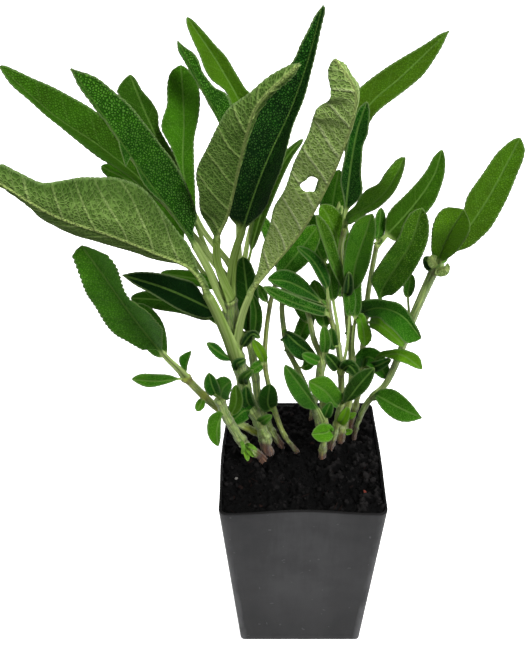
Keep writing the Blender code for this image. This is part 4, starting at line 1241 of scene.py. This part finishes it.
def stations(measures, length, fine):
    """Shares of the rib at which the leaf has a row of points: few on the petiole, more at both
    ends of the blade."""
    stalk = measures["stalk"]
    bare = np.linspace(0, stalk, max(5, int(length * stalk / (1.1 * MM))), endpoint=False)
    even = np.linspace(0, 1, max(24, int(length * (1 - stalk) / fine)))
    crowded = 0.72 * even + 0.28 * (1 - np.cos(math.pi * even)) / 2
    return np.concatenate([bare, stalk + (1 - stalk) * crowded])


def frames_along(measures, share, along):
    """For each row, the way the upper face looks and the way to the leaf's right."""
    turns = measures["turns"]
    turn = np.radians(np.interp(share, np.linspace(0, 1, len(turns)), turns))[:, None]
    facing = unit(TO_EYE - along * (along @ TO_EYE)[:, None])
    facing = facing * np.cos(turn) + np.cross(along, facing) * np.sin(turn)
    return facing, np.cross(along, facing)


def ripples(x, y, seed, size, strength):
    """Slow random waves over a blade."""
    waves = np.random.default_rng(seed)
    total = np.zeros_like(x)
    for _ in range(5):
        direction = waves.random() * 2 * math.pi
        rate = 2 * math.pi / (size * (0.7 + 0.8 * waves.random()))
        shift = waves.random() * 2 * math.pi
        total += np.sin(rate * (x * math.cos(direction) + y * math.sin(direction)) + shift)
    return total / 5 * strength


print("a plain blade's half widths:", blade_width(np.linspace(0, 1, 5), SHARP_TIP).round(2))

# %% [markdown]
# A half blade is widened until its margin shows where it was drawn. In the picture, each row of
# the half is a short ray that starts on the midrib. Where the ray first crosses the drawn margin,
# its length gives the row's width. A half that is seen nearly edge-on has no good crossing, and
# takes the width of its opposite.

# %% Crossings of rays and margins
NOTHING = 1e-9


def turned(first, second):
    """The flat cross product: above 0 where the second arrow is turned one way from the first."""
    return first[..., 0] * second[..., 1] - first[..., 1] * second[..., 0]


def first_crossing(origins, headings, border):
    """How far along each ray lies its first crossing with a drawn line."""
    steps = np.diff(border, axis=0)[None]
    gap = border[None, :-1] - origins[:, None]
    across = turned(headings[:, None], steps)
    across = np.where(np.abs(across) < NOTHING, NOTHING, across)
    on_ray = turned(gap, steps) / across
    on_line = turned(gap, headings[:, None]) / across
    hit = (on_ray > 0) & (on_line >= 0) & (on_line <= 1)
    return np.where(hit, on_ray, np.inf).min(axis=1)


def smoothed(values, reach=3):
    """A running mean."""
    padded = np.pad(values, reach, mode="edge")
    return np.convolve(padded, np.ones(2 * reach + 1) / (2 * reach + 1), mode="valid")


print("a running mean of 0, 0, 7, 0, 0:", smoothed([0, 0, 7, 0, 0]))

# %% Widths from drawn margins
EDGE_ON = 0.5  # picture points per millimetre, below which a half is seen edge-on
HIDDEN_RISE = 0.35  # share of the blade along which a hidden half grows to the width of the other
WIDEST = 1.6  # the most that a drawn half may be, against the leaf's listed half width
ROUND_FROM = 0.82  # share of a blunt blade from which its end is round


def drawn_halves(measures, blade, places, outward, plain):
    """Half widths of both sides along the leaf. `outward` holds, for the left and the right of
    the mesh, the way to the margin at each row."""
    halves = [plain.copy(), plain.copy()]
    drawn = measures["margins"]
    if drawn[0] is None and drawn[1] is None:
        return halves
    inside = (blade > 0.0) & (blade < 1.0)
    ribs = shown_at(places[inside])
    travel = np.gradient(ribs, axis=0)
    base, end = shown_at(places[[np.argmax(blade > 0) - 1, -1]])
    views = [shown_at(places[inside] + way[inside] * MM) - ribs for way in outward]
    clear = int(np.median(np.hypot(*views[1].T)) > np.median(np.hypot(*views[0].T)))
    swapped = clear != int(np.median(turned(travel, views[clear])) > 0)
    borders = drawn[::-1] if swapped else drawn
    for side, points in enumerate(borders):
        if points is None:
            continue
        known_from = 1 if points[0] is None else 0
        corners = [*points[known_from:], end] if known_from else [base, *points, end]
        border = Line([(*point, 0.0) for point in corners], 6).points[:, :2]
        width = first_crossing(ribs, views[side], border)
        for _ in range(2):
            sure = np.where(np.isfinite(width), width, 1.0)[:, None] * MM
            reached = shown_at(places[inside] + outward[side][inside] * sure) - ribs
            width = first_crossing(ribs, reached / (sure / MM), border)
        sharp = np.hypot(*views[side].T) > EDGE_ON
        good = np.isfinite(width) & sharp
        halves[side][:] = np.nan
        halves[side][inside] = np.where(good, width * MM, np.nan)
    for side, points in enumerate(borders):
        other = halves[1 - side]
        if points is None:
            halves[side] = other.copy()
        elif points[0] is None:
            first = np.argmax(np.isfinite(halves[side]))
            hidden = np.clip((blade[first] - blade) / HIDDEN_RISE, 0, 1)
            started = halves[side][first + 2] * (1 - hidden) + other * hidden
            halves[side] = np.where(blade < blade[first], started, np.fmin(halves[side], other))
        else:
            halves[side] = np.where(np.isfinite(halves[side]), halves[side], other)
        known = np.isfinite(halves[side]) & inside
        if known.sum() < 4:
            halves[side] = plain.copy()
            continue
        marks = np.concatenate([[0.0], blade[known], [1.0]])
        values = np.concatenate([[plain[np.argmax(blade > 0) - 1]], halves[side][known], [0.0]])
        filled = np.minimum(np.interp(blade, marks, values), WIDEST * measures["wide"] / 2)
        if measures["tip"] <= ROUND_TIP:
            at_end = np.interp(ROUND_FROM, blade[inside], filled[inside])
            rounded = at_end * np.sqrt(np.clip((1 - blade) / (1 - ROUND_FROM), 0, 1))
            filled = np.where(blade > ROUND_FROM, np.maximum(filled, rounded), filled)
        halves[side] = np.where(inside, smoothed(filled), plain)
    return halves


blunt = sum(measures["tip"] <= ROUND_TIP for measures in all_leaves)
print("leaves with a blunt tip:", blunt)

# %% [markdown]
# A single sheet has no thickness at its margin or at a bite. Two grids, with a wall wherever a
# cell has no neighbour, give a closed body that can be cut anywhere.

# %% A closed shell from two grids
def grid_shell(upper, under, keep):
    """One closed body from two equal grids: both faces where `keep` says so, and walls round the
    edge and round every hole."""
    rows, columns = upper.shape[:2]
    numbers = np.arange(rows * columns).reshape(rows, columns)
    corner = np.stack([numbers[:-1, :-1], numbers[:-1, 1:], numbers[1:, 1:], numbers[1:, :-1]], axis=-1)
    kept = corner[keep]
    count = rows * columns
    faces = kept.tolist() + (kept[:, ::-1] + count).tolist()
    edges = np.concatenate([kept[:, [i, (i + 1) % 4]] for i in range(4)])
    code = edges[:, 0] * count + edges[:, 1]
    lonely = edges[~np.isin(code, edges[:, 1] * count + edges[:, 0])]
    faces += np.hstack([lonely[:, ::-1], lonely + count]).tolist()
    return np.vstack([upper.reshape(-1, 3), under.reshape(-1, 3)]), faces


test_grid = np.zeros((3, 3, 3))
print("faces round 2 by 2 cells:", len(grid_shell(test_grid, test_grid, np.ones((2, 2), dtype=bool))[1]))

# %% [markdown]
# The leaf itself: for each row of the grid a place on the rib, the way its upper face looks and
# the two half widths, and for each column how far out it lies. Lifts are then added for the fold,
# the waves, the veins and the quilting.

# %% The shape of one leaf
def leaf_line(measures, stem):
    """The curve of a leaf's petiole and midrib, from inside its stem to its tip."""
    start, _ = stem.at(stem.share_near(*measures["foot"]))
    return Line([start, *(seen(*point) for point in measures["rib"])])


def leaf_shell(measures, line, seed, fine):
    """The points and faces of one leaf, and what its finish needs to know at each point."""
    stalk = measures["stalk"]
    share = stations(measures, line.length, fine)
    places, along = line.at(share)
    facing, right = frames_along(measures, share, along)
    blade_length = line.length * (1 - stalk)
    blade = np.clip((share - stalk) / (1 - stalk), 0, 1)
    columns = 2 * max(6, int(measures["wide"] / 2 / (fine * 1.35))) + 1
    across = np.linspace(-1, 1, columns)
    big = soft(measures["wide"], SLIGHT_BLADE, FULL_BLADE)
    scale = 0.4 + 0.6 * big

    spread = soft(blade, 0.0, SETS_IN)
    stalk_width = STALK_LEAST + STALK_SHARE * measures["wide"]
    before = np.clip(share / stalk, 0, 1)
    petiole = stalk_width / 2 * (1 - 0.2 * before + STALK_FLARE * (1 - before) ** 3)
    fold = measures["fold"] * soft(blade, 0.0, measures["reach"])
    plain = measures["wide"] / 2 * blade_width(blade, measures["tip"])
    plain = np.where(blade > 0, plain, petiole)
    outward = [facing * np.sin(fold)[:, None] + right * (side * np.cos(fold)[:, None]) for side in (-1, 1)]
    least = petiole * 0.8 * np.clip(1 - blade, 0, 1) ** 0.7 + EDGE_LEAST
    left_half, right_half = (
        np.where(blade > 0, np.maximum(half, least), petiole)
        for half in drawn_halves(measures, blade, places, outward, plain)
    )

    y = (blade * blade_length)[:, None] + np.zeros(columns)
    u = across[None, :] + np.zeros((len(share), 1))
    half = np.where(u < 0, left_half[:, None], right_half[:, None])
    x = u * half
    tooth = TOOTH_DEPTH * scale * measures["teeth"]
    teeth = (np.abs(np.sin(math.pi * y / TOOTH_PITCH)) - 0.6) * tooth
    x = x + np.sign(u) * teeth * np.abs(u) ** 6 * spread[:, None] * soft(half, 0.6 * MM, 2 * MM)
    out = x * np.cos(fold)[:, None]
    lift = half * np.sin(fold)[:, None] * np.abs(u) ** measures["curl"]
    sway = np.sin(2 * math.pi * (blade * blade_length / SWAY_LENGTH + seed * 0.37)) * spread * (1 - blade)
    lift += measures["wave"] * sway[:, None] * u * np.abs(u)
    lift += ripples(x, y, seed, RIPPLE_SIZE, RIPPLE_HEIGHT * scale) * spread[:, None] * np.abs(u)
    surface = places[:, None] + right[:, None] * out[..., None] + facing[:, None] * lift[..., None]

    spacing = (2.2 + 1.7 * big) * MM
    phase = (y - VEIN_SLANT * np.abs(x) - VEIN_BEND * x * x) / spacing + np.where(u > 0, VEIN_OFFSET, 0.0)
    phase += ripples(x, y, seed + WANDER_SEEDS, WANDER_SIZE, VEIN_WANDER)
    from_vein = np.abs(phase - np.round(phase)) * spacing / math.hypot(1, VEIN_SLANT)
    strong = np.where(np.round(phase) % STRONG_EVERY == 0, 1.0, 0.5)
    fade = spread[:, None] * (1 - np.abs(u) ** 5) * soft(np.abs(x), 0.0, 0.5 * MM)
    vein = bell(from_vein, VEIN_WIDTH) * fade * strong
    quilt = (1 - vein) * fade * np.abs(np.sin(math.pi * phase)) ** 0.6
    rib_width = RIB_RADIUS * (0.6 + 0.5 * big) * (1.25 - 0.75 * blade)[:, None]
    rib = bell(x, rib_width)

    bladed = soft(y, 0.0, 0.12 * measures["wide"] + 1.0 * MM)
    round_stalk = np.sqrt(np.clip(1 - u * u, 0, 1)) * petiole[:, None]
    groove = 0.5 - 0.38 * bell(u, 0.4)
    up = BLADE_HALF_THICK + QUILT_HEIGHT * (quilt - 0.25) * scale
    up -= rib * RIB_SINK * (1 - 0.5 * blade[:, None]) * scale
    low = BLADE_HALF_THICK + rib * RIB_HEIGHT * (1 - 0.72 * blade[:, None]) * (0.35 + 0.65 * big)
    low += (vein * 0.2 - quilt * 0.08) * MM
    up = up * bladed + round_stalk * groove * (1 - bladed)
    low = low * bladed + round_stalk * 0.95 * (1 - bladed)

    skyward = unit(np.cross(np.gradient(surface, axis=1), np.gradient(surface, axis=0)))
    keep = np.ones((len(share) - 1, columns - 1), dtype=bool)
    for hole in measures["holes"]:
        surface, keep = bite(surface, keep, x, y, hole, seed)
    upper = surface + skyward * up[..., None]
    under = surface - skyward * low[..., None]
    points, faces = grid_shell(upper, under, keep)

    flat = np.stack([x / MM, y / MM, (1 - np.abs(u)) * half / MM], axis=-1).reshape(-1, 3)
    net = np.stack([phase, np.abs(x) / MM, np.full_like(x, seed)], axis=-1).reshape(-1, 3)
    kinds = np.stack([blade[:, None] + 0 * u, bladed], axis=-1).reshape(-1, 2)
    sides = np.repeat((1.0, 0.0), len(flat))[:, None]
    stored = {
        "leaf_place": np.vstack([flat, flat]),
        "leaf_net": np.vstack([net, net]),
        "leaf_kind": np.hstack([sides, np.vstack([kinds, kinds])]),
        "leaf_green": np.tile(measures["green"], (2 * len(flat), 1)),
    }
    return points, faces, stored


print("widest leaf in mm:", round(max(measures["wide"] for measures in all_leaves) / MM, 1))

# %% [markdown]
# One large leaf has been bitten by an insect. The hole is cut out of the grid: cells inside it are
# left out, the points round it are drawn onto its ragged edge, and the walls that close the leaf's
# edge close the hole as well.

# %% A bite in a leaf
def bite(surface, keep, x, y, hole, seed):
    """Cuts a hole: drops the cells inside it, and draws the points round it onto its edge."""
    column, row, wide, long = hole
    flat = surface.reshape(-1, 3)
    off = np.linalg.norm(shown_at(flat) - (column, row), axis=1)
    from_eye = np.linalg.norm(flat - VIEW_FROM, axis=1)
    middle = np.argmin(np.where(off < off.min() + 1.5, from_eye, np.inf))
    centre_x, centre_y = x.ravel()[middle], y.ravel()[middle]
    away_x, away_y = (x - centre_x) / (wide / 2 * MM), (y - centre_y) / (long / 2 * MM)
    heading = np.arctan2(away_y, away_x)
    ragged = 1 + 0.10 * np.sin(3 * heading + seed) + 0.06 * np.sin(5 * heading + 2)
    distance = np.hypot(away_x, away_y) / ragged
    within = distance < 1.0
    gone = within[:-1, :-1] | within[1:, :-1] | within[:-1, 1:] | within[1:, 1:]
    touched = np.zeros_like(within)
    for a in (slice(None, -1), slice(1, None)):
        for b in (slice(None, -1), slice(1, None)):
            touched[a, b] |= gone
    edge = touched & ~within
    pull = np.where(edge, (1.0 / np.maximum(distance, 1e-6) - 1), 0.0)
    per_x = np.gradient(surface, axis=1) / np.gradient(x, axis=1)[..., None]
    per_y = np.gradient(surface, axis=0) / np.gradient(y, axis=0)[..., None]
    shift = per_x * ((x - centre_x) * pull)[..., None] + per_y * ((y - centre_y) * pull)[..., None]
    return surface + np.where(edge[..., None], shift, 0.0), keep & ~gone


print("bites:", sum(len(measures["holes"]) for measures in all_leaves))

# %% [markdown]
# ### The leaf's finish
# From above, a sage leaf is a soft, slightly greyish green. Its finish also paints light and shade:
# a painted highlight on every pebble, partly pale felt; painted shade in the net of grooves between
# them and towards the foot of the blade; each leaf painted lit or shaded by its own numbers; and a
# painted yellow glow where light would shine through. From below it is much paler, felted with fine
# hair, and the net of veins stands out lighter than the small fields between; there the outer part
# of each half is painted darker, as shade. One finish does both: the number `side`, kept at each
# point, says which face it is on.

# %% Leaf finish
UPPER_GREENS_SHADED_TO_LIT = [
    (0.0, paint(8, 42, 6)),
    (0.33, paint(28, 86, 11)),
    (0.66, paint(55, 122, 13)),
    (1.0, paint(92, 150, 18)),
]
GROOVE_SHADE = paint(4, 22, 5)
FELT_AND_HIGHLIGHT = paint(124, 150, 92)
GLOW_YELLOW = paint(120, 148, 14)
UPPER_RIB = paint(104, 142, 62)
UNDER_NET = paint(88, 120, 50)
UNDER_NET_PALE = paint(156, 180, 104)
UNDER_VEIN = paint(122, 148, 76)
UNDER_VEIN_PALE = paint(178, 192, 136)
UNDER_RIB = paint(164, 184, 106)
UNDER_FIELD = paint(44, 72, 20)
UNDER_FIELD_PALE = paint(104, 134, 54)
UNDER_SHADE = paint(36, 66, 16)
STALK_GREEN = paint(150, 170, 102)
STALK_DARK = paint(92, 120, 40)
LEAF_RELIEF = 0.4 * MM

leafy = Finish("sage_leaf_skin", Specular_IOR_Level=0.04)
x, y, to_margin = leafy.attribute("leaf_place")
phase, off_rib, seed = leafy.attribute("leaf_net")
side, blade, bladed = leafy.attribute("leaf_kind")
# First: how lit the leaf's green is painted, partly its own tone. Second: a painted glow above and painted
# shade below. Third: how crisp the pebbling looks.
light, glow_and_edge_shade, crisp = leafy.attribute("leaf_green")

# What both faces share: cells between the smallest veins, side veins, midrib and mottling
cell_place = leafy.place(phase * (2.5 + side * 0.6), (y + off_rib) * (0.52 + side * 0.26), seed * 3.7)
cells = leafy.node(
    "ShaderNodeTexVoronoi",
    {"feature": "DISTANCE_TO_EDGE", "voronoi_dimensions": "3D"},
    {"Vector": cell_place, "Scale": 1.0, "Randomness": 0.95},
)
pebble = leafy.step(cells, 0.02, 0.24)
from_vein = leafy.sum("PINGPONG", phase, 0.5)
from_strong = leafy.sum("PINGPONG", phase, STRONG_EVERY / 2)
inner = leafy.step(to_margin, 0.1, 0.9) * bladed
weak_vein = leafy.step(from_vein, 0.15, 0.02) * inner
strong_vein = leafy.step(from_strong, 0.26, 0.06) * inner
rib = leafy.step(off_rib / (1.7 - side * 0.7), 0.62, 0.2) * bladed
spot_place = leafy.place(x, y, seed * 5.1)
mottle = leafy.noise(spot_place, 0.16, 3)
fuzz = leafy.noise(spot_place, 3.2, 2)

# The upper face
# Painted light and shade: the leaf's light number, darker towards the blade's foot as if shaded by other
# leaves, lighter towards its tip and on each pebble
green = light + (blade - 0.5) * (0.1 + crisp * 0.22)
green = green + (mottle - 0.5) * 0.5 + (pebble - 0.4) * crisp * 0.16
upper = leafy.node("ShaderNodeValToRGB", {"stops": UPPER_GREENS_SHADED_TO_LIT}, {"Fac": green})
fine_lines = (strong_vein * 0.07 + weak_vein * 0.05) * leafy.step(crisp, 1.0, 0.6)
upper = leafy.coats(
    upper,
    # Painted glow: a yellow tint for light shining through the leaf
    (glow_and_edge_shade * 0.25, GLOW_YELLOW),
    # Painted shade in the net of grooves between the pebbles
    ((1 - pebble) * (0.1 + crisp * 0.42) * (1 - rib), GROOVE_SHADE),
    # Pale felt on the pebble tops, partly a painted highlight, stronger on leaves painted lighter
    (leafy.step(fuzz * pebble, 0.3, 0.6) * crisp * (0.08 + light * 0.35), FELT_AND_HIGHLIGHT),
    (rib * 0.6 + fine_lines, UPPER_RIB),
)

# The under face
# How pale the under face is follows the leaf's light number, so it is partly painted light and shade; it is
# also paler towards the blade's foot
pale = leafy.clamped(light * (1.28 - blade * 0.7) + (mottle - 0.5) * 0.35)
outer = leafy.step(off_rib / (off_rib + to_margin + 0.1), 0.45, 0.85)
under = leafy.coats(
    leafy.mix(pale, UNDER_NET, UNDER_NET_PALE),
    (pebble * 0.75, leafy.mix(pale, UNDER_FIELD, UNDER_FIELD_PALE)),
    (weak_vein * 0.35 + strong_vein * 0.7, leafy.mix(pale, UNDER_VEIN, UNDER_VEIN_PALE)),
    # Painted shade on the outer part of each half, where its margin curls away
    (outer * glow_and_edge_shade * 0.55, UNDER_SHADE),
    (rib * (0.65 + pale * 0.3), UNDER_RIB),
)

# Both faces; the petiole with its stripes, and painted darker, as shade, on leaves painted dark; and the
# felt along the margin
stripes = leafy.noise(leafy.place(x * 1.6, y * 0.1, seed), 1.0, 2)
stalk_stripes_and_shade = leafy.step(light, 0.1, 0.3) * 0.5 + leafy.step(stripes, 0.35, 0.6) * 0.5
colour = leafy.coats(
    under,
    (side, upper),
    (1 - bladed, leafy.mix(stalk_stripes_and_shade, STALK_DARK, STALK_GREEN)),
    (leafy.step(to_margin, 0.8, 0.1) * bladed * (0.25 + crisp * 0.35), FELT_AND_HIGHLIGHT),
)
leafy.feed(leafy.shader, "Base Color", colour)
leafy.feed(leafy.shader, "Roughness", 0.6 + 0.25 * (1 - side) + fuzz * 0.1)
relief = side * pebble * (0.35 + crisp * 0.65) + (1 - side) * (strong_vein * 0.8 + (1 - pebble)) * 0.8
leafy.bump(relief * bladed + fuzz * 0.12, LEAF_RELIEF)
print("nodes in the leaf's finish:", len(leafy.tree.nodes))

# %% [markdown]
# ## The stems
# Young sage stems are squarish, pale green and downy, a little thicker at each joint where leaves
# sit, and they turn brown and woody at the foot. Each is a tube of many rings round its curve. A
# cosine with four waves round the tube makes it squarish, and a small bulge marks each joint.
# Lower down, where the stem is older, random knobs push it out of round.

# %% Stem rings
STEM_SIDES = 20
STEM_STEP = 0.9 * MM
SQUARENESS = 0.1
JOINT_BULGE = 0.22
JOINT_LENGTH = 1.4 * MM
SCAR_BELOW = 1.5 * MM  # where the brown scar of an old leaf lies, below its joint
SCAR_WIDTH = 0.5 * MM
KNOBS_UP_TO = 40 * MM  # old stems are knobbly this far up
KNOB_STEP = 2.2 * MM  # from one knob to the next
KNOB_SHARE = 0.09  # how far a knob stands out, as a share of the radius
KNOB_SEEDS = 500  # where the knobs' seeds begin
SKIN_SHARE = 0.03  # how rough the skin is, as a share of the radius
WOODY_UP_TO = 14 * MM


def stem_line(shoot):
    """The stem's curve, from its buried foot up."""
    soil_point = seen_on_soil(*shoot["soil"])
    return Line([soil_point - (0, 0, ROOT_DEPTH), soil_point, *(seen(*point) for point in shoot["stem"])])


def stem_tube(shoot, line, seed):
    """The points and faces of one stem, and what its finish needs to know."""
    share = np.linspace(0, 1, int(line.length / STEM_STEP))
    centre, along = line.at(share)
    side = unit(np.cross((0, 1, 0), along))
    front = np.cross(along, side)
    mark = share * line.length
    radius = (shoot["radius"][0] * (1 - share) + shoot["radius"][1] * share) * MM
    scar = np.zeros(len(share))
    for measures in shoot["leaves"]:
        joint = line.share_near(*measures["foot"]) * line.length
        radius = radius * (1 + JOINT_BULGE / 2 * bell(mark - joint, JOINT_LENGTH))
        scar = np.maximum(scar, bell(mark - joint + SCAR_BELOW, SCAR_WIDTH))
    radius *= soft(share, 1.02, 0.985) * 0.6 + 0.4
    turn = np.linspace(0, 2 * math.pi, STEM_SIDES, endpoint=False)
    rough = np.random.default_rng(seed).normal(size=(len(share), STEM_SIDES)) * SKIN_SHARE
    woody = soft(mark, ROOT_DEPTH + WOODY_UP_TO, ROOT_DEPTH + 2 * MM)[:, None]
    knobbly = soft(mark, ROOT_DEPTH + KNOBS_UP_TO, ROOT_DEPTH + 4 * MM)[:, None]
    knob_marks = np.arange(0, line.length, KNOB_STEP)
    knob_sides = np.random.default_rng(seed + KNOB_SEEDS).normal(size=(len(knob_marks), 4))
    knobs = np.stack([np.interp(mark, knob_marks, column) for column in knob_sides.T], axis=1)
    waves = np.stack([np.full(STEM_SIDES, 0.7), np.cos(turn), np.sin(turn), np.cos(2 * turn)])
    size = radius[:, None] * (1 + SQUARENESS * np.cos(4 * turn) + rough * (0.6 + woody * 1.6))
    size = size * (1 + KNOB_SHARE * knobbly * (knobs @ waves))
    rings = centre[:, None] + side[:, None] * (size * np.cos(turn))[..., None]
    rings = rings + front[:, None] * (size * np.sin(turn))[..., None]
    points, faces = closed_stack(list(rings))
    height, scarred = (np.repeat(values, STEM_SIDES) for values in ((mark - ROOT_DEPTH) / MM, scar))
    yellow = np.full(len(height), shoot["yellow"])
    place = np.stack([np.tile(turn, len(share)), height, np.full(len(height), seed)], axis=1)
    kind = np.stack([scarred, yellow, np.zeros(len(height))], axis=1)
    return points, faces, {"stem_place": place, "stem_kind": kind}


longest = max(stem_line(shoot).length for shoot in SHOOTS.values())
print("longest stem in mm, with its buried foot:", round(longest / MM))

# %% [markdown]
# ### The stems' finish
# The skin is pale green with darker streaks and long grooves. Below each joint an old leaf has left
# a brown scar, and near the soil there are blotches of brown and of pale bloom, until the green
# turns to wood. Streaks and grooves read their noise by height and by the turn round the stem,
# which makes them run along it.

# %% Stem finish
STEM_GREEN = paint(160, 180, 104)
STEM_DEEP = paint(94, 124, 52)
STEM_GROOVE = paint(66, 92, 30)
STEM_YELLOW = paint(140, 150, 44)
SCAR_BROWN = paint(74, 62, 24)
STEM_BLOOM = paint(176, 188, 136)
WOOD = paint(122, 90, 66)
WOOD_DARK = paint(70, 46, 36)
STEM_RELIEF = 0.3 * MM
AGED_BELOW = 34.0  # mm above the soil, like the next three
AGED_FULLY = 8.0
WOOD_BELOW = 10.0
WOOD_FULLY = 2.0

stemmy = Finish("sage_stem_skin", Specular_IOR_Level=0.3, Sheen_Weight=0.25, Sheen_Roughness=0.4)
around, height, seed = stemmy.attribute("stem_place")
scar, yellow, _ = stemmy.attribute("stem_kind")
where = stemmy.here()
fuzz = stemmy.noise(where, 2400, 3)
streaks = stemmy.noise(stemmy.place(around * 2.4, height * 0.09, seed), 1.6, 3)
patches = stemmy.noise(where, 160, 3)
groove_noise = stemmy.noise(stemmy.place(around * 4.5, height * 0.06, seed * 2.3), 1.3, 2)
grooves = stemmy.step(groove_noise, 0.5, 0.68)
aged = stemmy.step(height, AGED_BELOW, AGED_FULLY)
old_patches = stemmy.noise(where, 420, 3)
green = stemmy.coats(
    STEM_GREEN,
    (stemmy.step(streaks, 0.35, 0.65), STEM_DEEP),
    (grooves * 0.55, STEM_GROOVE),
    (yellow * stemmy.step(patches, 0.35, 0.6), STEM_YELLOW),
    (scar * stemmy.step(patches + fuzz * 0.3, 0.5, 0.75) * 0.8, SCAR_BROWN),
    (aged * stemmy.step(old_patches, 0.5, 0.62) * 0.6, SCAR_BROWN),
    (aged * stemmy.step(old_patches, 0.46, 0.36) * 0.7, STEM_BLOOM),
)
wood = stemmy.mix(stemmy.step(streaks + fuzz * 0.4, 0.5, 0.8), WOOD, WOOD_DARK)
woodiness = stemmy.step(height + (patches - 0.5) * 20, WOOD_BELOW, WOOD_FULLY)
stemmy.feed(stemmy.shader, "Base Color", stemmy.mix(woodiness, green, wood))
stemmy.feed(stemmy.shader, "Roughness", 0.6 + fuzz * 0.2)
stemmy.bump(fuzz * 0.6 + streaks - grooves, STEM_RELIEF)
print("nodes in the stems' finish:", len(stemmy.tree.nodes))

# %% [markdown]
# ## Growing the plant
# Every stem is dressed in turn: one piece for all its leaves, one for its tube and one for its
# buds. All three stand for the plain solid of that stem. The buds are tiny new leaves, a pair in
# the angle between each larger leaf and the stem, and they are made as the leaves are. Large
# leaves get a finer grid than small ones, because the eye rests on them.

# %% Buds
FINE = 0.46 * MM  # the grid's step on large leaves
COARSE = 0.62 * MM
BUD_SIZES = (2.6, 4.6)  # shortest and longest, in mm
BUDS_ABOVE = 6.5 * MM  # a leaf narrower than this has no bud in its axil


def axil_buds(shoot, stem, first_seed):
    """The pair of tiny new leaves that stands between each grown leaf and the stem."""
    dice = np.random.default_rng(first_seed)
    buds = []
    for number, measures in enumerate(shoot["leaves"]):
        if measures["wide"] < BUDS_ABOVE:
            continue
        foot, upward = stem.at(stem.share_near(*measures["foot"]))
        outward = leaf_line(measures, stem).at(0.12)[0] - foot
        for lean in (0.4, -0.5):
            way = unit(unit(outward) * (0.7 + lean * 0.5) + upward * 0.8 + dice.normal(size=3) * 0.25)
            long = (BUD_SIZES[0] + (BUD_SIZES[1] - BUD_SIZES[0]) * dice.random()) * MM
            bend = np.cross(way, dice.normal(size=3)) * 0.12
            line = Line([foot, foot + way * long * 0.5, foot + (way + bend) * long])
            bud = leaf((0, 0), [], 0.42 * long / MM, turn=40 * dice.normal(), fold=38, stalk=0.12, wave=0.0)
            bud["green"] = (0.6 + 0.2 * dice.random(), 0.4, 0.0)
            buds.append(leaf_shell(bud, line, first_seed + number, COARSE))
    return buds


rear = SHOOTS["shoot_rear"]
print("buds of the rear stem:", len(axil_buds(rear, stem_line(rear), 1)))

# %% Grow the stems
FINE_ABOVE = 12 * MM  # a leaf wider than this is a large one
SEEDS_APART = 20  # every stem has this many seeds of its own


def joined(parts):
    """Several bodies as one: points, faces and stored numbers."""
    points, faces, stored = [], [], {}
    total = 0
    for part_points, part_faces, part_stored in parts:
        faces += [[number + total for number in face] for face in part_faces]
        points.append(part_points)
        total += len(part_points)
        for key, values in part_stored.items():
            stored.setdefault(key, []).append(values)
    return np.vstack(points), faces, {key: np.vstack(values) for key, values in stored.items()}


def grow(name, shoot, first_seed):
    """The pieces of one leafy stem."""
    line = stem_line(shoot)
    leaves = []
    for number, measures in enumerate(shoot["leaves"]):
        fine = FINE if measures["wide"] > FINE_ABOVE else COARSE
        leaves.append(leaf_shell(measures, leaf_line(measures, line), first_seed + number, fine))
    bodies = {
        "leaves": (joined(leaves), leafy),
        "stem": (stem_tube(shoot, line, first_seed), stemmy),
        "buds": (joined(axil_buds(shoot, line, first_seed)), leafy),
    }
    for word, ((points, faces, stored), finish) in bodies.items():
        made = piece(f"{name}_{word}", points, faces, finish, stored)
        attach(made, "root")
        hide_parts(name)
    return len(bodies["leaves"][0][1])


for number, (name, shoot) in enumerate(SHOOTS.items()):
    print(name, "leaf faces:", grow(name, shoot, 1 + number * SEEDS_APART))

# %% [markdown]
# ## The end
# The dressed plant keeps the solids' size.

# %% Bring the scene up to date
bpy.context.view_layer.update()
